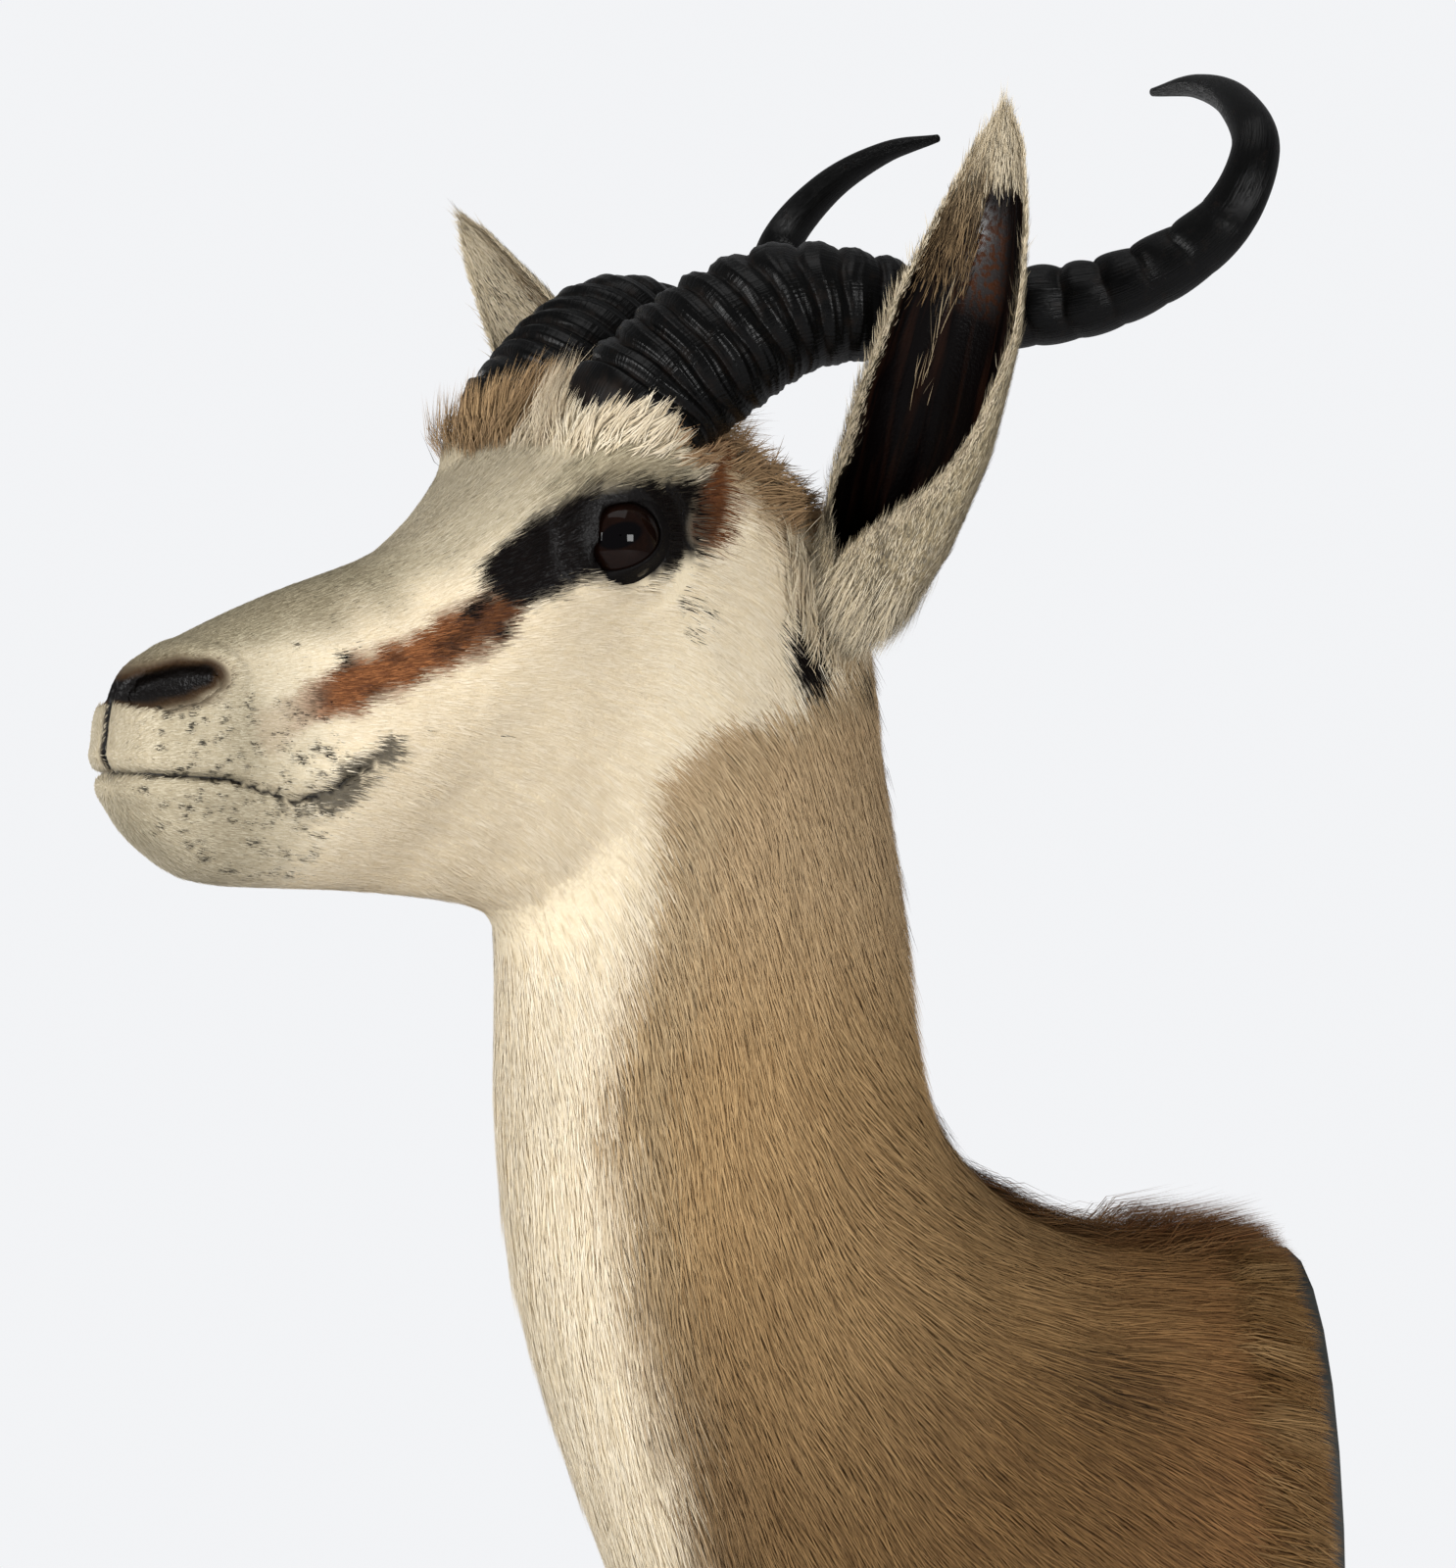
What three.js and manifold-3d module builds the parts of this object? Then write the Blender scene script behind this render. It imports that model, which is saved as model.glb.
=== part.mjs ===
// Springbok shoulder mount: the head, neck and shoulders of a springbok, its tanned hide stretched over a
// light form, with the animal's own horns, ears on stiff liners, glass eyes and a wooden back panel.
//
// Millimetres. +Z is up, the wall is the plane y = 0 behind the panel, the animal looks out along -Y and
// its left side is +X. The origin is on the panel's back face, near its middle. Places are written as
// [side, out, height]: side is +X, out is away from the wall and height is +Z.
import * as THREE from "three";
import { mergeVertices } from "three/addons/utils/BufferGeometryUtils.js";
import Module from "manifold-3d";

const wasm = await Module();
wasm.setup();

// Driving dimensions
const GAP = 0.3;
const PANEL_THICKNESS = 6;
const PANEL_INSET = 4;
const HIDE_BACK = PANEL_THICKNESS + GAP;
const NECK_AXIS_OUT = 178;
const HEAD_HEIGHT = 270;
const HEAD_TURN = THREE.MathUtils.degToRad(28);

// Key sections of the hide, from the back panel to the nose. Each joins a point of the spine line to a
// point of the belly line, both as [out, height]. half is half the width there, level is how far down the
// section it is widest, and crown and keel are how full it is above and below that: 2 is an ellipse.
const SECTIONS = [
  { spine: [HIDE_BACK, 98], belly: [HIDE_BACK, -120], half: 77, level: 0.54, crown: 2.3, keel: 2.2 },
  { spine: [34, 100], belly: [58, -121], half: 81, level: 0.54, crown: 2.2, keel: 2.1 },
  { spine: [64, 104], belly: [114, -103], half: 82, level: 0.54, crown: 2, keel: 2.1 },
  { spine: [86, 114], belly: [160, -71], half: 78, level: 0.54, crown: 1.9, keel: 2 },
  { spine: [100, 128], belly: [192, -34], half: 73, level: 0.53, crown: 1.9, keel: 2 },
  { spine: [108, 143], belly: [212, 4], half: 66, level: 0.52, crown: 2, keel: 2 },
  { spine: [112, 165], belly: [228, 48], half: 59, level: 0.52, crown: 2, keel: 2 },
  { spine: [113.5, 192], belly: [240, 90], half: 53, level: 0.52, crown: 2, keel: 2 },
  { spine: [116, 220], belly: [245.5, 130], half: 49, level: 0.52, crown: 2, keel: 2 },
  { spine: [119.5, 250], belly: [247, 160], half: 46, level: 0.5, crown: 2, keel: 2 },
  { spine: [124, 280], belly: [248.5, 183], half: 45, level: 0.47, crown: 2.1, keel: 2 },
  { spine: [136, 305], belly: [251, 194], half: 45, level: 0.44, crown: 2.2, keel: 2 },
  { spine: [151, 321], belly: [260, 198], half: 45, level: 0.4, crown: 2.3, keel: 2 },
  { spine: [172, 334], belly: [270, 200], half: 46, level: 0.37, crown: 2.4, keel: 1.9 },
  { spine: [196, 344], belly: [280, 201], half: 48, level: 0.34, crown: 2.5, keel: 1.8 },
  { spine: [218, 349], belly: [289, 202], half: 50, level: 0.33, crown: 2.5, keel: 1.7 },
  { spine: [237, 339], belly: [297, 203], half: 49, level: 0.33, crown: 2.4, keel: 1.7 },
  { spine: [253, 328], belly: [305, 203.5], half: 45, level: 0.35, crown: 2.3, keel: 1.8 },
  { spine: [269, 316], belly: [313, 204], half: 40, level: 0.38, crown: 2.2, keel: 1.9 },
  { spine: [285, 304], belly: [321, 204.5], half: 35.5, level: 0.42, crown: 2.2, keel: 2 },
  { spine: [302, 297], belly: [329, 205], half: 31.5, level: 0.45, crown: 2.2, keel: 2.1 },
  { spine: [318, 291.5], belly: [337, 205.5], half: 28.5, level: 0.47, crown: 2.2, keel: 2.2 },
  { spine: [333, 285.5], belly: [345, 206.5], half: 26.5, level: 0.48, crown: 2.2, keel: 2.3 },
  { spine: [346, 279.5], belly: [352.5, 208.5], half: 25.5, level: 0.49, crown: 2.3, keel: 2.3 },
  { spine: [358, 273.5], belly: [359.5, 213], half: 24, level: 0.5, crown: 2.4, keel: 2.3 },
  { spine: [368, 268], belly: [367, 219.5], half: 20.5, level: 0.5, crown: 2.4, keel: 2.3 },
  { spine: [374, 262], belly: [372.5, 227], half: 14.5, level: 0.5, crown: 2.3, keel: 2.2 },
];
const NOSE_TIP = [0, 377, 247];
const RINGS_PER_SECTION = 2;
const RING_POINTS = 30;
const TURN_STARTS = 3;
const TURN_ENDS = 11;

// Local swellings of the hide, on both sides: where, how wide and how far out. These and all the places
// below are in the head's own frame: out is from the neck axis and height from the head's turning point.
const SWELLINGS = [
  { at: [42, 66, 58], reach: 19, rise: 7 },
  { at: [22, 182, -20], reach: 14, rise: 1.5 },
  { at: [36, 98, 0], reach: 22, rise: -2 },
  { at: [30, 58, 64], reach: 18, rise: 12 },
  { at: [0, 52, 74], reach: 16, rise: 4 },
  { at: [32, 2, 50], reach: 22, rise: 4 },
];

const EYE = { at: [43, 58.5, 34], facing: [0.88, 0.46, 0.08], radius: 12.5, depth: 11.5 };
const NOSTRIL = { at: [16.5, 187, -6.5], length: 16.5, depth: 6, height: 6, splay: 30, pitch: 13 };
const MOUTH = {
  line: [[212, -32.5], [196, -32.2], [171, -33.9], [153, -39.6], [142, -37.5], [130, -27.5]],
  gap: 2,
  depth: 3.5,
};

// A horn's middle line, its radius by share of its length, and the ridges that ring its lower part
const HORN = {
  line: [
    [31.5, 45, 70], [33, 35, 80], [45, 2, 102.5], [64, -43.5, 103.5], [92, -80, 108.5],
    [116.5, -102.5, 127.5], [121, -112, 149], [105, -119, 165.5], [80, -125, 175], [55, -128.5, 177],
  ],
  radii: [
    [0, 21], [0.12, 21], [0.18, 19.6], [0.25, 16.6], [0.32, 13.4], [0.4, 11.8], [0.52, 10.6],
    [0.62, 9.3], [0.7, 7.7], [0.78, 6.4], [0.87, 4.6], [0.95, 2.8], [1, 1.3],
  ],
  ridgedShare: 0.66,
  firstPitch: 6.6,
  pitchGrowth: 0.4,
  ridge: 1.5,
  lastRidgeShare: 0.3,
  ridgeShape: [[0, -0.9], [0.3, 0.8], [0.68, 1]],
  sides: 10,
  smoothSteps: 10,
};

// The ear's profile, from root to tip: [share, half width, depth of its back, depth of its front]
const EAR = {
  profile: [
    [0, 13, 17, 8], [0.1, 17, 20, 7], [0.25, 21.5, 20, 5], [0.45, 23.5, 17, 3], [0.65, 21, 12, 2],
    [0.82, 14, 7, 1.5], [0.94, 7.5, 3.5, 1.5], [1, 3.5, 2, 1.5],
  ],
  wall: 2.6,
  thinnest: 0.8,
  hollowFrom: 0.13,
  hollowTo: 0.9,
  hollowFront: 24,
  sides: 14,
  steps: 11,
  left: { base: [33, -25, 12], bend: [113, -8, 76], tip: [106, -32, 155.5], opening: [0.42, 0.9, 0.1] },
  right: { base: [-33, -25, 12], bend: [-92, -8, 84], tip: [-122, 12.5, 147], opening: [0, 1, 0.1] },
};

// A steel plate let into the panel's back: a screw head goes in at the keyhole's round end and up its slot
const HANGER = {
  width: 64,
  height: 26,
  thickness: 2.5,
  centre: 62,
  keyRadius: 6,
  keyDrop: 4,
  slotHalf: 2.6,
  slotLength: 9,
  screwSpacing: 44,
  screwRadius: 4.2,
  screwHead: 1.2,
};
const POCKET = { width: 18, height: 20, depth: 5 };

const at = ([side, out, height]) => new THREE.Vector3(side, -out, height);
const mirrored = ([side, out, height]) => [-side, out, height];

// Booleans

function solidOf(geometry) {
  const bare = new THREE.BufferGeometry();
  bare.setAttribute("position", geometry.getAttribute("position").clone());
  bare.setIndex(geometry.index);
  const merged = mergeVertices(bare, 1e-4);
  const vertProperties = new Float32Array(merged.getAttribute("position").array);
  const triVerts = new Uint32Array(merged.index.array);
  return new wasm.Manifold(new wasm.Mesh({ numProp: 3, vertProperties, triVerts }));
}

function geometryOf(solid) {
  const mesh = solid.getMesh();
  const geometry = new THREE.BufferGeometry();
  geometry.setAttribute("position", new THREE.BufferAttribute(mesh.vertProperties, 3));
  geometry.setIndex(new THREE.BufferAttribute(mesh.triVerts, 1));
  geometry.computeVertexNormals();
  return geometry;
}

// A closed skin over rings of equal length, with a point in the middle of each end
function skinOver(rings, firstMiddle, lastMiddle) {
  const count = rings[0].length;
  const points = [...rings.flat(), firstMiddle, lastMiddle];
  const first = points.length - 2;
  const last = points.length - 1;
  const lastRing = (rings.length - 1) * count;
  const faces = [];
  for (let p = 0; p < count; p++) {
    const next = (p + 1) % count;
    faces.push(first, next, p, last, lastRing + p, lastRing + next);
    for (let r = 0; r < rings.length - 1; r++) {
      const low = r * count;
      const high = low + count;
      faces.push(low + p, low + next, high + next, low + p, high + next, high + p);
    }
  }
  const geometry = new THREE.BufferGeometry().setFromPoints(points);
  geometry.setIndex(faces);
  return geometry;
}

// A smooth curve through key values, each an array of numbers, at positions
function through(positions, values) {
  const size = values[0].length;
  const curve = new THREE.CubicInterpolant(positions, values.flat(), size, new Array(size));
  return (position) => [...curve.evaluate(position)];
}

// The head's pose

const UP = new THREE.Vector3(0, 0, 1);
const headFrame = new THREE.Vector3(0, -NECK_AXIS_OUT, HEAD_HEIGHT);
const head = new THREE.Group();
head.position.copy(headFrame);
head.rotation.z = HEAD_TURN;
head.updateMatrix();
const intoHead = head.matrix.clone().invert();

// A point of the straight animal, carried by a share of the head's turn
function posed(point, share) {
  return point.sub(headFrame).applyAxisAngle(UP, HEAD_TURN * share).add(headFrame);
}

// Hide

const sectionAt = through(
  SECTIONS.map((_, index) => index),
  SECTIONS.map((s) => [...s.spine, ...s.belly, s.half, s.level, s.crown, s.keel]),
);

// One point of a section, by its angle from the spine round the right side
function sectionPoint(position, angle) {
  const [spineOut, spineHeight, bellyOut, bellyHeight, half, level, crown, keel] = sectionAt(position);
  const above = Math.cos(angle) > 0;
  const power = 2 / (above ? crown : keel);
  const side = -half * Math.sign(Math.sin(angle)) * Math.abs(Math.sin(angle)) ** power;
  const reach = Math.abs(Math.cos(angle)) ** power;
  const down = above ? level * (1 - reach) : level + (1 - level) * reach;
  const spine = at([0, spineOut, spineHeight]);
  const belly = at([0, bellyOut, bellyHeight]);
  const middle = spine.clone().lerp(belly, level);
  const point = spine.lerp(belly, down).setX(side);
  return { point, middle };
}

// The hide's whole surface, moved out by grow
function hideSkin(grow) {
  const rings = [];
  const steps = (SECTIONS.length - 1) * RINGS_PER_SECTION;
  for (let step = 0; step <= steps; step++) {
    const position = step / RINGS_PER_SECTION;
    const share = THREE.MathUtils.smoothstep(position, TURN_STARTS, TURN_ENDS);
    const ring = [];
    for (let p = 0; p < RING_POINTS; p++) {
      const { point, middle } = sectionPoint(position, (p / RING_POINTS) * 2 * Math.PI);
      const outward = point.clone().sub(middle).normalize();
      let rise = grow;
      for (const swelling of SWELLINGS) {
        for (const place of [swelling.at, mirrored(swelling.at)]) {
          const distance = point.distanceTo(at(place).add(headFrame)) / swelling.reach;
          rise += swelling.rise * Math.exp(-distance * distance);
        }
      }
      ring.push(posed(point.addScaledVector(outward, rise), share));
    }
    rings.push(ring);
  }
  const back = at([0, HIDE_BACK, 0]);
  const nose = posed(at(NOSE_TIP).add(new THREE.Vector3(0, -grow, 0)), 1);
  return solidOf(skinOver(rings, back, nose));
}

function eyeDome(grow) {
  const profile = [new THREE.Vector2(0, -grow)];
  const arcSteps = 5;
  for (let step = 0; step <= arcSteps; step++) {
    const angle = (step / arcSteps) * (Math.PI / 2);
    const radius = step === arcSteps ? 0 : (EYE.radius + grow) * Math.cos(angle);
    const height = step === 0 ? -grow : (EYE.depth + grow) * Math.sin(angle);
    profile.push(new THREE.Vector2(radius, height));
  }
  return new THREE.LatheGeometry(profile, 14);
}

// The eye's place on the head: the dome's axis is +Y before this
function eyePlace(side) {
  const facing = at([side * EYE.facing[0], EYE.facing[1], EYE.facing[2]]).normalize();
  const turn = new THREE.Quaternion().setFromUnitVectors(new THREE.Vector3(0, 1, 0), facing);
  const place = at([side * EYE.at[0], EYE.at[1], EYE.at[2]]);
  return new THREE.Matrix4().compose(place, turn, new THREE.Vector3(1, 1, 1));
}

function nostrilPit(side) {
  const pit = new THREE.SphereGeometry(1, 12, 8);
  pit.scale(NOSTRIL.depth, NOSTRIL.length, NOSTRIL.height);
  pit.rotateX(THREE.MathUtils.degToRad(NOSTRIL.pitch));
  pit.rotateZ(-side * THREE.MathUtils.degToRad(NOSTRIL.splay));
  const place = at([side * NOSTRIL.at[0], NOSTRIL.at[1], NOSTRIL.at[2]]);
  return pit.translate(place.x, place.y, place.z);
}

// A thin sheet along the lips, through the whole muzzle
function lipSheet() {
  const points = MOUTH.line.map(([out, height]) => new THREE.Vector2(out, height));
  const middle = new THREE.SplineCurve(points).getPoints(10);
  const upper = middle.map((p) => new THREE.Vector2(p.x, p.y + MOUTH.gap / 2));
  const lower = middle.map((p) => new THREE.Vector2(p.x, p.y - MOUTH.gap / 2));
  const width = 100;
  const band = new THREE.Shape([...upper, ...lower.reverse()]);
  const sheet = new THREE.ExtrudeGeometry(band, { depth: width, bevelEnabled: false });
  sheet.translate(0, 0, -width / 2);
  const axes = new THREE.Matrix4().makeBasis(at([0, 1, 0]), at([0, 0, 1]), at([-1, 0, 0]));
  return sheet.applyMatrix4(axes);
}

function hideSolid() {
  let hide = hideSkin(0);
  const lips = solidOf(lipSheet().applyMatrix4(head.matrix)).subtract(hideSkin(-MOUTH.depth));
  hide = hide.subtract(lips);
  for (const side of [1, -1]) {
    hide = hide.subtract(solidOf(nostrilPit(side).applyMatrix4(head.matrix)));
    hide = hide.subtract(solidOf(eyeDome(GAP).applyMatrix4(eyePlace(side)).applyMatrix4(head.matrix)));
  }
  return hide;
}

// Horns: ringed for two thirds of their length, then smooth to the hooked tip

function hornSolid(side) {
  const line = HORN.line.map((place) => at(side > 0 ? place : mirrored(place)));
  const curve = new THREE.CatmullRomCurve3(line);
  const length = curve.getLength();
  const radiusAt = through(HORN.radii.map(([share]) => share), HORN.radii.map(([, radius]) => [radius]));
  const ridged = HORN.ridgedShare * length;
  const stations = [];
  let along = 0;
  for (let ridge = 0; along < ridged; ridge++) {
    const pitch = HORN.firstPitch + HORN.pitchGrowth * ridge;
    const height = HORN.ridge * THREE.MathUtils.lerp(1, HORN.lastRidgeShare, (along / ridged) ** 2);
    for (const [step, lift] of HORN.ridgeShape) {
      stations.push([(along + step * pitch) / length, lift * height]);
    }
    along += pitch;
  }
  const smoothFrom = along / length;
  for (let step = 0; step <= HORN.smoothSteps; step++) {
    stations.push([smoothFrom + (1 - smoothFrom) * (step / HORN.smoothSteps), 0]);
  }
  const frameCount = 200;
  const frames = curve.computeFrenetFrames(frameCount);
  const rings = stations.map(([share, lift]) => {
    const centre = curve.getPointAt(share);
    const frame = Math.round(share * frameCount);
    const radius = radiusAt(share)[0] + lift;
    return Array.from({ length: HORN.sides }, (_, p) => {
      const angle = (p / HORN.sides) * 2 * Math.PI;
      return centre
        .clone()
        .addScaledVector(frames.normals[frame], radius * Math.cos(angle))
        .addScaledVector(frames.binormals[frame], radius * Math.sin(angle));
    });
  });
  return solidOf(skinOver(rings, curve.getPointAt(0), curve.getPointAt(1)));
}

// Ears: a pointed leaf, cupped towards the front, on a stout root

function earLoft(ear, from, to, shrink, front) {
  const curve = new THREE.QuadraticBezierCurve3(at(ear.base), at(ear.bend), at(ear.tip));
  const profileAt = through(EAR.profile.map(([share]) => share), EAR.profile.map(([, ...sizes]) => sizes));
  const rings = [];
  for (let step = 0; step <= EAR.steps; step++) {
    const share = THREE.MathUtils.lerp(from, to, step / EAR.steps);
    const [half, back, lip] = profileAt(share);
    const centre = curve.getPointAt(share);
    const along = curve.getTangentAt(share);
    const across = new THREE.Vector3().crossVectors(at(ear.opening), along).normalize();
    const open = new THREE.Vector3().crossVectors(along, across);
    rings.push(Array.from({ length: EAR.sides }, (_, p) => {
      const angle = (p / EAR.sides) * 2 * Math.PI;
      const depth = Math.sin(angle) > 0 ? front ?? lip : Math.max(back - shrink, EAR.thinnest);
      return centre
        .clone()
        .addScaledVector(across, Math.max(half - shrink, EAR.thinnest) * Math.cos(angle))
        .addScaledVector(open, depth * Math.sin(angle));
    }));
  }
  return solidOf(skinOver(rings, curve.getPointAt(from), curve.getPointAt(to)));
}

function earSolid(ear) {
  const hollow = earLoft(ear, EAR.hollowFrom, EAR.hollowTo, EAR.wall, EAR.hollowFront);
  return earLoft(ear, 0, 1, 0).subtract(hollow);
}

// Back panel and the steel hanger let into it

function panelGeometry() {
  const outline = [];
  for (let p = 0; p < RING_POINTS; p++) {
    const { point, middle } = sectionPoint(0, (p / RING_POINTS) * 2 * Math.PI);
    point.addScaledVector(point.clone().sub(middle).normalize(), -PANEL_INSET);
    outline.push(new THREE.Vector2(point.x, point.z));
  }
  const sheet = new THREE.Shape(outline);
  const board = new THREE.ExtrudeGeometry(sheet, { depth: PANEL_THICKNESS, bevelEnabled: false });
  return board.rotateX(Math.PI / 2);
}

// A recess in the panel's back, round the middle of the hanger
function recess(width, height, depth) {
  return solidOf(new THREE.BoxGeometry(width, 2 * depth, height).translate(0, 0, HANGER.centre));
}

function panelSolid() {
  const seat = HANGER.thickness + HANGER.screwHead;
  return solidOf(panelGeometry())
    .subtract(recess(HANGER.width + 2 * GAP, HANGER.height + 2 * GAP, seat))
    .subtract(recess(POCKET.width, POCKET.height, POCKET.depth));
}

function hangerSolid() {
  const { width, height, thickness, centre, keyRadius, keyDrop, slotHalf, screwRadius, screwHead } = HANGER;
  const up = Math.PI / 2;
  const slotAngle = Math.asin(slotHalf / keyRadius);
  const keyhole = new THREE.Path();
  keyhole.absarc(0, -keyDrop, keyRadius, up + slotAngle, up - slotAngle + 2 * Math.PI, false);
  keyhole.absarc(0, HANGER.slotLength - keyDrop, slotHalf, 0, Math.PI, false);
  const plate = new THREE.Shape();
  plate.moveTo(-width / 2, -height / 2).lineTo(width / 2, -height / 2);
  plate.lineTo(width / 2, height / 2).lineTo(-width / 2, height / 2);
  plate.holes.push(keyhole);
  const rolled = { depth: thickness, bevelEnabled: false, curveSegments: 6 };
  const sheet = new THREE.ExtrudeGeometry(plate, rolled);
  sheet.rotateX(Math.PI / 2).translate(0, GAP - screwHead, centre);
  let hanger = solidOf(sheet);
  for (const side of [1, -1]) {
    const screw = new THREE.CylinderGeometry(0.7 * screwRadius, screwRadius, screwHead, 10);
    screw.translate((side * HANGER.screwSpacing) / 2, -screwHead / 2, centre);
    hanger = hanger.add(solidOf(screw));
  }
  return hanger;
}

// Assembly

function material(colour, roughness, metalness) {
  return new THREE.MeshStandardMaterial({ color: colour, roughness, metalness });
}

function named(name, geometry, finish) {
  const mesh = new THREE.Mesh(geometry, finish);
  mesh.name = name;
  return mesh;
}

const finishes = {
  hide: () => material(0xc3a377, 0.8, 0),
  horn: () => material(0x17130f, 0.45, 0),
  ear: () => material(0xb9aa8e, 0.8, 0),
  eye: () => material(0x140b08, 0.05, 0),
  panel: () => material(0x1d211c, 0.7, 0),
  hanger: () => material(0x9a9c9e, 0.4, 1),
};

const mount = new THREE.Group();
mount.add(named("hide", geometryOf(hideSolid()), finishes.hide()), head);
mount.add(named("back_panel", geometryOf(panelSolid()), finishes.panel()));
mount.add(named("hanger_plate", geometryOf(hangerSolid()), finishes.hanger()));

// Horns and ears stand on the hide, so they end just clear of it
const clearOfHide = hideSkin(GAP).transform(intoHead.toArray());
for (const [name, side, ear] of [["left", 1, EAR.left], ["right", -1, EAR.right]]) {
  head.add(named(`horn_${name}`, geometryOf(hornSolid(side).subtract(clearOfHide)), finishes.horn()));
  head.add(named(`ear_${name}`, geometryOf(earSolid(ear).subtract(clearOfHide)), finishes.ear()));
  head.add(named(`eye_${name}`, eyeDome(0).applyMatrix4(eyePlace(side)), finishes.eye()));
}

export default mount;
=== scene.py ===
import math

import bmesh
import bpy
import numpy as np
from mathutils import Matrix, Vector
from mathutils.bvhtree import BVHTree


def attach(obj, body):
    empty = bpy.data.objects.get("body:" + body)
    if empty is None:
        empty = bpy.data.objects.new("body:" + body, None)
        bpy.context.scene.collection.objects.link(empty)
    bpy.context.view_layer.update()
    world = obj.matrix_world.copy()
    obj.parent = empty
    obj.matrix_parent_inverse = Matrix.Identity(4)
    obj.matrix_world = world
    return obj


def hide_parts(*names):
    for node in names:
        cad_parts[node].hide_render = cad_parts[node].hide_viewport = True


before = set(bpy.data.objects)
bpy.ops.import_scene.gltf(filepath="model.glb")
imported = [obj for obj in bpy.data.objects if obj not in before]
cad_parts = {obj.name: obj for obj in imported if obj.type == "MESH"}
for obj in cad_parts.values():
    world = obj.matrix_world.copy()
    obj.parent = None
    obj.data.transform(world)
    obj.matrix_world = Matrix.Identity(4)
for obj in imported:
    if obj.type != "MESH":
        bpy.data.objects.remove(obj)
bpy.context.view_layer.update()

# The skin: a springbok's tanned hide, glued over a light carved form and sewn shut along its back.
# It is tucked in round the eyes, nostrils and lips, and its rear edge is stapled to the back panel.
# Places are millimetres on the straight animal, [side, out from the wall, height]; the head is then turned.
MM = 0.001
NECK_AXIS = np.array([0.0, -178.0, 270.0])
HEAD_TURN = math.radians(28)
TURN_STARTS = 25
TURN_ENDS = 262
TURN_SLANT = 0.85
chance = np.random.default_rng(11)


def ease(low, high, value):
    """0 below low and 1 above high, with a soft start and end."""
    share = np.clip((value - low) / (high - low), 0, 1)
    return share * share * (3 - 2 * share)


def unit(vectors):
    return vectors / np.maximum(np.linalg.norm(vectors, axis=-1, keepdims=True), 1e-9)


def spun(points, angle):
    """Turned about the upright axis of the neck."""
    x, y, z = (points - NECK_AXIS).T
    turned = [np.cos(angle) * x - np.sin(angle) * y, np.sin(angle) * x + np.cos(angle) * y, z]
    return np.stack(turned, axis=-1) + NECK_AXIS


def posed(place, share=1.0):
    """Where a place on the straight animal comes to, with its share of the head's turn."""
    return spun(np.asarray(place, float) * (1, -1, 1), HEAD_TURN * share)


def posed_way(way, share=1.0):
    return spun(np.asarray(way, float) * (1, -1, 1) + NECK_AXIS, HEAD_TURN * share) - NECK_AXIS


def straightened(points):
    """The places on the straight animal that points came from, and the share of the turn there."""
    share = np.ones(len(points))
    for _ in range(5):
        place = spun(points, -HEAD_TURN * share)
        share = ease(TURN_STARTS, TURN_ENDS, place[:, 2] - TURN_SLANT * (place[:, 1] - NECK_AXIS[1]))
    return place * (1, -1, 1), share


def on_near_side(place):
    """The same places with those of the far side mirrored to the near one."""
    return np.column_stack([np.abs(place[:, 0]), place[:, 1:]])


def beside(place, line):
    """Distance from a line of [side, out, height, half width] on both sides of the body, in half widths."""
    even = on_near_side(place)
    nearest = np.full(len(even), 1e9)
    for start, end in zip(line, line[1:]):
        start, end = np.array(start, float), np.array(end, float)
        along = end[:3] - start[:3]
        share = np.clip((even - start[:3]) @ along / (along @ along), 0, 1)
        distance = np.linalg.norm(even - start[:3] - share[:, None] * along, axis=1)
        nearest = np.minimum(nearest, distance / (start[3] + share * (end[3] - start[3])))
    return nearest


def ripple(place, size):
    """A smooth, uneven value from -1 to 1 that changes over about that size."""
    total = np.zeros(len(place))
    for turn, stretch in ((0.4, 1.0), (1.7, 1.31), (2.9, 0.77), (4.4, 1.62)):
        way = np.array([math.cos(turn), math.sin(turn), math.cos(2.3 * turn + 1)]) * stretch / size
        total += np.sin(place @ way * 2.2 + 5 * turn)
    return total / 2.6


# Lay of the coat: [out, height], the way the hair lies there as [side, out, height], and its length
LAY = [
    [372, 250, 0.5, -1.0, 0.3, 1.6],
    [348, 240, 0.2, -1.0, -0.1, 2.6],
    [330, 286, 0.1, -1.0, 0.4, 2.8],
    [352, 212, 0.1, -1.0, -0.2, 4.0],
    [290, 255, 0.1, -1.0, -0.25, 5.5],
    [290, 298, 0.1, -0.9, 0.5, 3.6],
    [262, 296, 0.2, -0.9, 0.1, 4.0],
    [245, 335, 0.1, -0.7, 0.7, 6.0],
    [215, 345, 0.2, -0.8, 0.4, 10.0],
    [180, 328, 0.2, -0.8, -0.4, 12.0],
    [300, 212, 0.0, -1.0, -0.2, 7.0],
    [260, 222, 0.0, -0.8, -0.6, 9.0],
    [225, 285, 0.0, -1.0, -0.4, 7.0],
    [165, 272, 0.0, -0.5, -0.9, 11.0],
    [252, 180, 0.0, -0.2, -1.0, 13.0],
    [190, 190, 0.0, -0.2, -1.0, 14.0],
    [122, 230, 0.0, -0.2, -1.0, 15.0],
    [240, 90, 0.0, -0.15, -1.0, 17.0],
    [180, 100, 0.0, -0.3, -1.0, 16.0],
    [118, 150, 0.0, -0.55, -0.8, 19.0],
    [205, 0, 0.0, -0.2, -1.0, 18.0],
    [150, 40, 0.0, -0.55, -0.85, 17.0],
    [100, 115, 0.0, -0.9, -0.35, 26.0],
    [90, 20, 0.0, -0.75, -0.6, 18.0],
    [50, 98, 0.0, -1.0, -0.05, 26.0],
    [30, 20, 0.0, -0.8, -0.5, 17.0],
    [40, -80, 0.0, -0.7, -0.6, 17.0],
    [150, -60, 0.0, -0.6, -0.7, 18.0],
]
LAY_REACH = 26


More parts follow.
